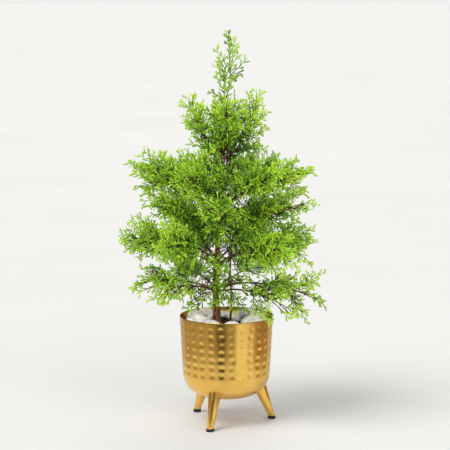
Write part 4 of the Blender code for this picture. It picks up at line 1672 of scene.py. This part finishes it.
def grow_side_sprays(mass, shoot, mood, sprays):
    """Smaller sprays that leave a shoot out of its plane."""
    rule = mass.rule
    normal = shoot.way.cross(shoot.flat)
    side = rule.choice((-1.0, 1.0))
    for share, size in sprays:
        side = -side
        root = shoot.root + shoot.way * shoot.length * share
        fork = math.radians(SIDE_FORK + rule.gauss(0.0, FORK_STRAY))
        lean = (normal * side + shoot.flat * rule.uniform(-SIDE_LEAN, SIDE_LEAN)).normalized()
        way = drawn(shoot.way * math.cos(fork) + lean * math.sin(fork), root, mass.goal)
        flat = flat_of(way, rule.gauss(0.0, SIDE_ROLL))
        length = shoot.length * size * rule.uniform(*SIDE_SIZES)
        if has_room(mass.name, root, way, flat, length):
            shade = shade_at(root + way * length * SIDE_TINT_SHARE, mood) + rule.gauss(0.0, SIDE_MOOD)
            grow_spray(mass, root, way, flat, length, shade)


def grow_fine_shoot(mass, place, heading, turn, length):
    rule = mass.rule
    side = Matrix.Rotation(turn, 3, heading) @ heading.orthogonal().normalized()
    fork = math.radians(FINE_FORK + rule.gauss(0.0, FORK_STRAY))
    way = drawn(heading * math.cos(fork) + side * math.sin(fork), place + heading * length / 2, mass.goal)
    flat = flat_of(way, rule.gauss(0.0, FINE_ROLL))
    length *= rule.uniform(*FINE_SIZES)
    if has_room(mass.name, place, way, flat, length):
        mood = rule.gauss(0.0, MOOD)
        grow_spray(mass, place, way, flat, length, shade_at(place + way * length * FINE_TINT_SHARE, mood))
        grow_side_sprays(mass, Shoot(place, way, flat, length, 0.5), mood, FINE_SIDE_SPRAYS)


def grow_trunk_shoots(mass, low, high):
    """Fine shoots that leave the trunk itself between two heights."""
    rule = mass.rule
    count = round((high - low) / TRUNK_SHOOT_STEP)
    turn = rule.uniform(0.0, 2 * math.pi)
    for i in range(count):
        centre, radius = at_height(*trunk, low + (high - low) * (i + 0.5) / count)
        turn += GOLDEN_ANGLE + rule.uniform(-TURN_STRAY, TURN_STRAY)
        outward = Vector((math.cos(turn), math.sin(turn), 0.0))
        rise = math.radians(mass.goal + rule.uniform(-RISE_STRAY, RISE_STRAY))
        way = outward * math.cos(rise) + Vector((0.0, 0.0, math.sin(rise)))
        flat = flat_of(way, rule.gauss(0.0, FINE_ROLL))
        root = centre + outward * radius * TRUNK_SUNK
        length = TRUNK_SHOOT * rule.uniform(*TRUNK_SIZES)
        edge = edge_of(root, way, flat, length, TRUNK_SPRAY_EDGE)
        if space.margins("trunk", edge)[1].min() > LEAF_CLEAR:
            mood = rule.gauss(0.0, MOOD)
            grow_spray(mass, root, way, flat, length, shade_at(edge[2], mood), TRUNK_SHOOT_BARE)
            grow_side_sprays(mass, Shoot(root, way, flat, length, 0.5), mood, FINE_SIDE_SPRAYS)


tip_room = space.margins("leader", leader[-1:])[1][0]
print("room between the leader's tip and the other limbs:", round(1000 * tip_room), "mm")

# %% Grow one mass
SHOOTS = 7
# The two masses that grow on no limb: line, longest shoot, number of shoots, and the rise they turn towards
OWN_LINES = {"leader": (leader, 0.044, 11, 80.0), "second_tuft": (tuft, 0.040, 6, 50.0)}
STEM_END = 0.84
TWIG_STATIONS = 5
TWIG_STEP, TWIG_SIDES = 0.004, 2
LEADER_STEM_SHADE = 0.5
# Shoots further out than this share of their stem have few side sprays, so the outline stays loose
OUTER_SHARE = 0.55
# Masses with few side sprays all along, which let the sky through
OPEN_GROWN = ("skirt", "upper", "shoulder_right")
# Shoots of the skirt that hang lower than this have no leaves on their inner part
HANGING, HANGING_BARE = 0.10, 0.62
# Fine shoots: how many on each mass, their size, and the share of the stem that they stand on
FINE_SHOOTS = {"upper": 9, "shoulder": 12, "flank": 14, "middle": 14, "skirt": 4, "second": 6, "leader": 0}
FINE_SIZE = 0.62
FINE_SPAN = 0.66
FIRST_FINE = 0.3


def grow_stem(mass, course):
    """The stem of a mass as a line, and as a tube of bark. The leader's is green, and a chain of fingers."""
    on_bough = mass.name.startswith(("shoulder", "middle", "skirt"))
    start = BOUGH_SHARE + CLEAR / length_of(course) if on_bough else 0.0
    stem = stretch(course, start, STEM_END, TWIG_STATIONS)
    if mass.name != "leader":
        radii = tapered(TWIG_RADII, len(stem))
        return stem, [tube("stem_" + mass.name, stem, radii, TWIG_STEP, TWIG_SIDES)]
    full = spaced(course, SAMPLES + 1)
    lay_rib(mass, lambda share: full[round(share * SAMPLES)], Vector((0.0, 1.0, 0.0)), length_of(course),
            2 * TWIG_RADII[0], LEADER_STEM_SHADE, 0.0)
    return stem, []


def grow_mass(mass, course, longest, count):
    """The stem of one mass, its shoots, and the finer shoots between them. It gives the stem's tube."""
    rule = mass.rule
    stem, tubes = grow_stem(mass, course)
    is_leader = mass.name == "leader"
    open_grown = mass.name.startswith(OPEN_GROWN)
    for shoot in fitted(mass.name, shoots(mass.name, stem, course[-1], longest, count, mass.goal)):
        mood = rule.gauss(0.0, MOOD)
        shade = shade_at(shoot.root + shoot.way * shoot.length * 0.5, mood)
        hanging = mass.name.startswith("skirt") and shoot.way.z < HANGING and shoot.share < 1.0
        grow_spray(mass, shoot.root, shoot.way, shoot.flat, shoot.length, shade,
                   HANGING_BARE if hanging else 0.0, 0.0 if is_leader else STALK)
        if not (is_leader or hanging):
            few = open_grown or shoot.share > OUTER_SHARE
            grow_side_sprays(mass, shoot, mood, OUTER_SIDE_SPRAYS if few else SIDE_SPRAYS)
    turn = rule.uniform(0.0, 2 * math.pi)
    fine = FINE_SHOOTS[mass.name.split("_")[0]]
    for i in range(fine):
        turn += GOLDEN_ANGLE
        place, heading = along(stem, FINE_SPAN * (i + FIRST_FINE) / fine)
        grow_fine_shoot(mass, place, heading, turn, longest * FINE_SIZE)
    return tubes


print("fine shoots tried in all:", sum(FINE_SHOOTS[limb.name.split("_")[0]] for limb in plans))

# %% [markdown]
# Single twigs
#
# The eye notices a few twigs that stand apart: those of the leader, the ones that hang over the rim, and
# three dead ones. A random rule could throw some up, but not where they belong. So they are set one by one,
# in a table. They are made of the same sprays, or of a bare rib with stubs.

# %% Set the single twigs
# A twig's group, the limb that it leaves and where, its azimuth and rise in degrees, its length, and whether
# it has leaves
Sprig = namedtuple("Sprig", "group limb share azimuth rise length leafy")
SPRIGS = (
    Sprig("top", "leader", 0.06, 8, 70, 0.034, True),
    Sprig("top", "leader", 0.12, 180, 72, 0.030, True),
    Sprig("top", "leader", 0.28, 186, 62, 0.030, True),
    Sprig("top", "leader", 0.44, 4, 58, 0.030, True),
    Sprig("top", "upper_right", 0.30, -6, 86, 0.060, True),
    Sprig("top", "upper_right", 0.48, 5, 82, 0.060, True),
    Sprig("top", "upper_right", 0.64, -12, 70, 0.046, True),
    Sprig("top", "upper_right", 0.42, -40, 60, 0.044, True),
    Sprig("top", "upper_left", 0.34, 170, 84, 0.056, True),
    Sprig("top", "upper_left", 0.60, 190, 76, 0.042, True),
    Sprig("top", "upper_front", 0.16, 196, -58, 0.042, True),
    Sprig("flank", "flank_front_left", 0.62, 186, 40, 0.052, True),
    Sprig("skirt", "skirt_right", 0.62, -20, -58, 0.058, True),
    Sprig("skirt", "skirt_right", 0.66, 20, -52, 0.036, False),
    Sprig("skirt", "skirt_right", 0.70, 10, 35, 0.052, True),
    Sprig("skirt", "skirt_left", 0.42, 0, -85, 0.038, False),
    Sprig("skirt", "skirt_left", 0.55, 200, -66, 0.036, True),
    Sprig("skirt", "skirt_left", 0.28, -90, -55, 0.032, True),
    Sprig("skirt", "skirt_front_right", 0.42, -40, -55, 0.052, True),
    Sprig("skirt", "second_stem", 0.60, -160, -50, 0.048, True),
    Sprig("skirt", "second_stem", 0.52, -80, -30, 0.054, True),
    Sprig("skirt", "second_stem", 0.66, -112, -40, 0.056, True),
    Sprig("skirt", "second_stem", 0.46, -20, -58, 0.042, True),
    Sprig("skirt", "second_stem", 0.80, -20, 10, 0.048, True),
    Sprig("skirt", "skirt_front_left", 0.25, -8, 34, 0.050, True),
    Sprig("skirt", "skirt_front_right", 0.22, 188, 48, 0.048, True),
    Sprig("skirt", "skirt_front_left", 0.34, 12, -46, 0.036, True),
    Sprig("middle", "middle_front_left", 0.26, -10, 44, 0.050, True),
    Sprig("middle", "middle_front_right", 0.26, 190, -24, 0.050, True),
    Sprig("middle", "middle_front_right", 0.20, 175, 62, 0.046, True),
    Sprig("middle", "middle_front_left", 0.34, 5, -40, 0.044, True),
    Sprig("flank", "flank_front_left", 0.22, 0, 70, 0.050, True),
    Sprig("shoulder", "shoulder_front_left", 0.24, -10, 66, 0.048, True),
    Sprig("shoulder", "shoulder_front_right", 0.24, 190, 60, 0.048, True),
    Sprig("middle", "middle_right", 0.72, -12, -38, 0.050, True),
    Sprig("middle", "middle_front_right", 0.78, -25, -36, 0.050, True),
    Sprig("flank", "flank_front_right", 0.70, 4, 6, 0.038, False),
)
SPRIG_BARE, SPRIG_ROLL, SPRIG_MOOD = 0.16, 0.35, 0.10
# The stubs of a dead twig: where they leave it and on which side, their length and their width
STUBS = ((0.35, 1.0), (0.55, -1.0), (0.72, 1.0))
STUB_REACH, STUB_WIDTH = 0.22, 0.7


def grow_sprig(sprig, leaves, wood):
    """One twig that stands apart. It sags, and it has leaves on its outer part or none at all."""
    rule = random.Random(f"{sprig} {SEED}")
    mass = Mass(sprig.limb, 0.0, rule, leaves, wood)
    course = {"leader": leader, "second_stem": second[0]}.get(sprig.limb) or courses[sprig.limb]
    root, _ = along(course, sprig.share)
    way = direction(sprig.azimuth, sprig.rise)
    flat = flat_of(way, rule.gauss(0.0, SPRIG_ROLL))
    if sprig.leafy:
        shade = shade_at(root + way * sprig.length, SPRIG_MOOD)
        stalk = 0.0 if sprig.group == "top" else STALK
        grow_spray(mass, root, way, flat, sprig.length, shade, SPRIG_BARE, stalk)
        return
    normal = way.cross(flat).normalized()
    rib = bent_rib(rule, root, way, flat, normal, sprig.length)
    lay_rib(mass, rib, normal, sprig.length, RIB_WIDTH, 0.0, 1.0)
    for share, side in STUBS:
        heading, _ = leave_rib(rule, rib, flat, normal, share, side, PLUME_ANGLES, PLUME_STRAY)
        end = rib(share) + heading * sprig.length * STUB_REACH
        wood.add(rib(share), end, normal, STUB_WIDTH * RIB_WIDTH, 0.0)


print("single twigs:", len(SPRIGS), "of which dead:", sum(not sprig.leafy for sprig in SPRIGS))

# %% [markdown]
# The colours of the leaves
#
# A golden cypress is dark green inside and yellow-green where it grows, with a rusty tip here and there. A
# colour stored at each point could show this with one material. Plain materials are used instead, because
# they survive any export. So there are five tints, and each finger goes to the one that its shade falls in.

# %% Leaf finishes
# Each tint: the shade where it starts, and its colour
TINTS = {
    "rust": (-99.0, (0.270, 0.105, 0.035)),
    "deep": (-9.0, (0.098, 0.212, 0.018)),
    "mid": (0.30, (0.205, 0.410, 0.024)),
    "lime": (0.48, (0.320, 0.560, 0.028)),
    "bright": (0.68, (0.455, 0.695, 0.045)),
}
DARKER, LIGHTER = 0.86, 1.12


def leaf_finish(name, colour):
    finish = Finish("leaf_" + name, 0.5, specular=0.25)
    darker, lighter = (tuple(factor * c for c in colour) for factor in (DARKER, LIGHTER))
    finish.colour(finish.ramp(finish.noise(0.004, detail=1.0), (0.35, darker), (0.65, lighter)))
    finish.bump(finish.noise(0.0009, detail=1.0), 0.00015, 0.6)
    return finish.material


leaf_looks = {name: leaf_finish(name, colour) for name, (_, colour) in TINTS.items()}
print("tints:", ", ".join(leaf_looks))

# %% [markdown]
# The pieces of foliage
#
# Every spray could be an object of its own, but thousands of objects are slow to handle. One mesh for the
# whole crown would be too heavy. So the crown is parted by height into five groups, and each group has one
# piece for each tint and one for its twigs, with the stems of its masses joined to them.

# %% Make the foliage pieces
# Each group: its masses, the tier whose rise the trunk's own shoots take, and their stretch of the trunk
GROUPS = {
    "top": (("leader", "upper"), "upper", (0.405, 0.475)),
    "shoulder": (("shoulder",), "shoulder", (0.335, 0.405)),
    "flank": (("flank",), "flank", (0.285, 0.335)),
    "middle": (("middle",), "middle", (0.240, 0.285)),
    "skirt": (("skirt", "second_tuft"), "skirt", (0.212, 0.240)),
}
BOX_ROOM = 0.002


def masses_of(part):
    """The masses of one part of a group: name, line, longest shoot, number of shoots, and goal."""
    if part in OWN_LINES:
        return [(part, *OWN_LINES[part])]
    return [(limb.name, courses[limb.name], limb.tier.shoot, SHOOTS, limb.tier.goal)
            for limb in plans if limb.name.startswith(part)]


def grow_group(group):
    """Tables of the leaves and of the twigs of a group, its stems, and the names of its masses."""
    leaves, wood, stems, names = Fingers(), Fingers(), [], []
    parts, tier, (low, high) = GROUPS[group]
    for sprig in SPRIGS:
        if sprig.group == group:
            grow_sprig(sprig, leaves, wood)
    rule = random.Random(f"trunk {low} {SEED}")
    grow_trunk_shoots(Mass("trunk", TIERS[tier].goal, rule, leaves, wood), low, high)
    for part in parts:
        for name, course, longest, count, goal in masses_of(part):
            mass = Mass(name, goal, random.Random(f"sprays {name} {SEED}"), leaves, wood)
            stems += grow_mass(mass, course, longest, count)
            names.append(name)
    return leaves.table(), wood.table(), stems, names


def pruned(rows):
    """Leaves out what would touch a stem or the planter, or reach past the solids' box."""
    tips = rows[:, END]
    low, high = np.array(solid_box[0]) - BOX_ROOM, np.array(solid_box[1]) + BOX_ROOM
    keep = ((tips > low) & (tips < high)).all(axis=1)
    offset = np.linalg.norm(tips[:, :2] - np.array(POT_AXIS)[:2], axis=1)
    keep &= (tips[:, 2] > RIM_HEIGHT + LEAF_CLEAR) | (offset > RIM_RADIUS + LEAF_CLEAR)
    for course, radii in (trunk, second):
        feet, _ = nearest_on(course, tips)
        thickness = np.interp(tips[:, 2], [p.z for p in course], radii)
        keep &= np.linalg.norm(tips - feet, axis=1) > thickness + 0.5 * LEAF_CLEAR
    return rows[keep]


def make_group(group):
    leaves, wood, stems, names = grow_group(group)
    leaves = pruned(leaves)
    starts = [start for start, _ in TINTS.values()]
    tints = np.searchsorted(starts, leaves[:, SHADE], side="right") - 1
    for i, tint in enumerate(TINTS):
        rows = leaves[tints == i]
        if len(rows):
            piece = finger_mesh(f"{group}_leaves_{tint}", rows)
            dress(piece, leaf_looks[tint], "foliage", *names)
    twigs = finger_mesh(f"{group}_twigs", pruned(wood))
    bpy.ops.object.select_all(action="DESELECT")
    for stem in stems + [twigs]:
        stem.select_set(True)
    bpy.context.view_layer.objects.active = twigs
    bpy.ops.object.join()
    dress(twigs, twig_bark, "bark", *names)
    return len(leaves)


print("fingers in all:", sum(make_group(group) for group in GROUPS))
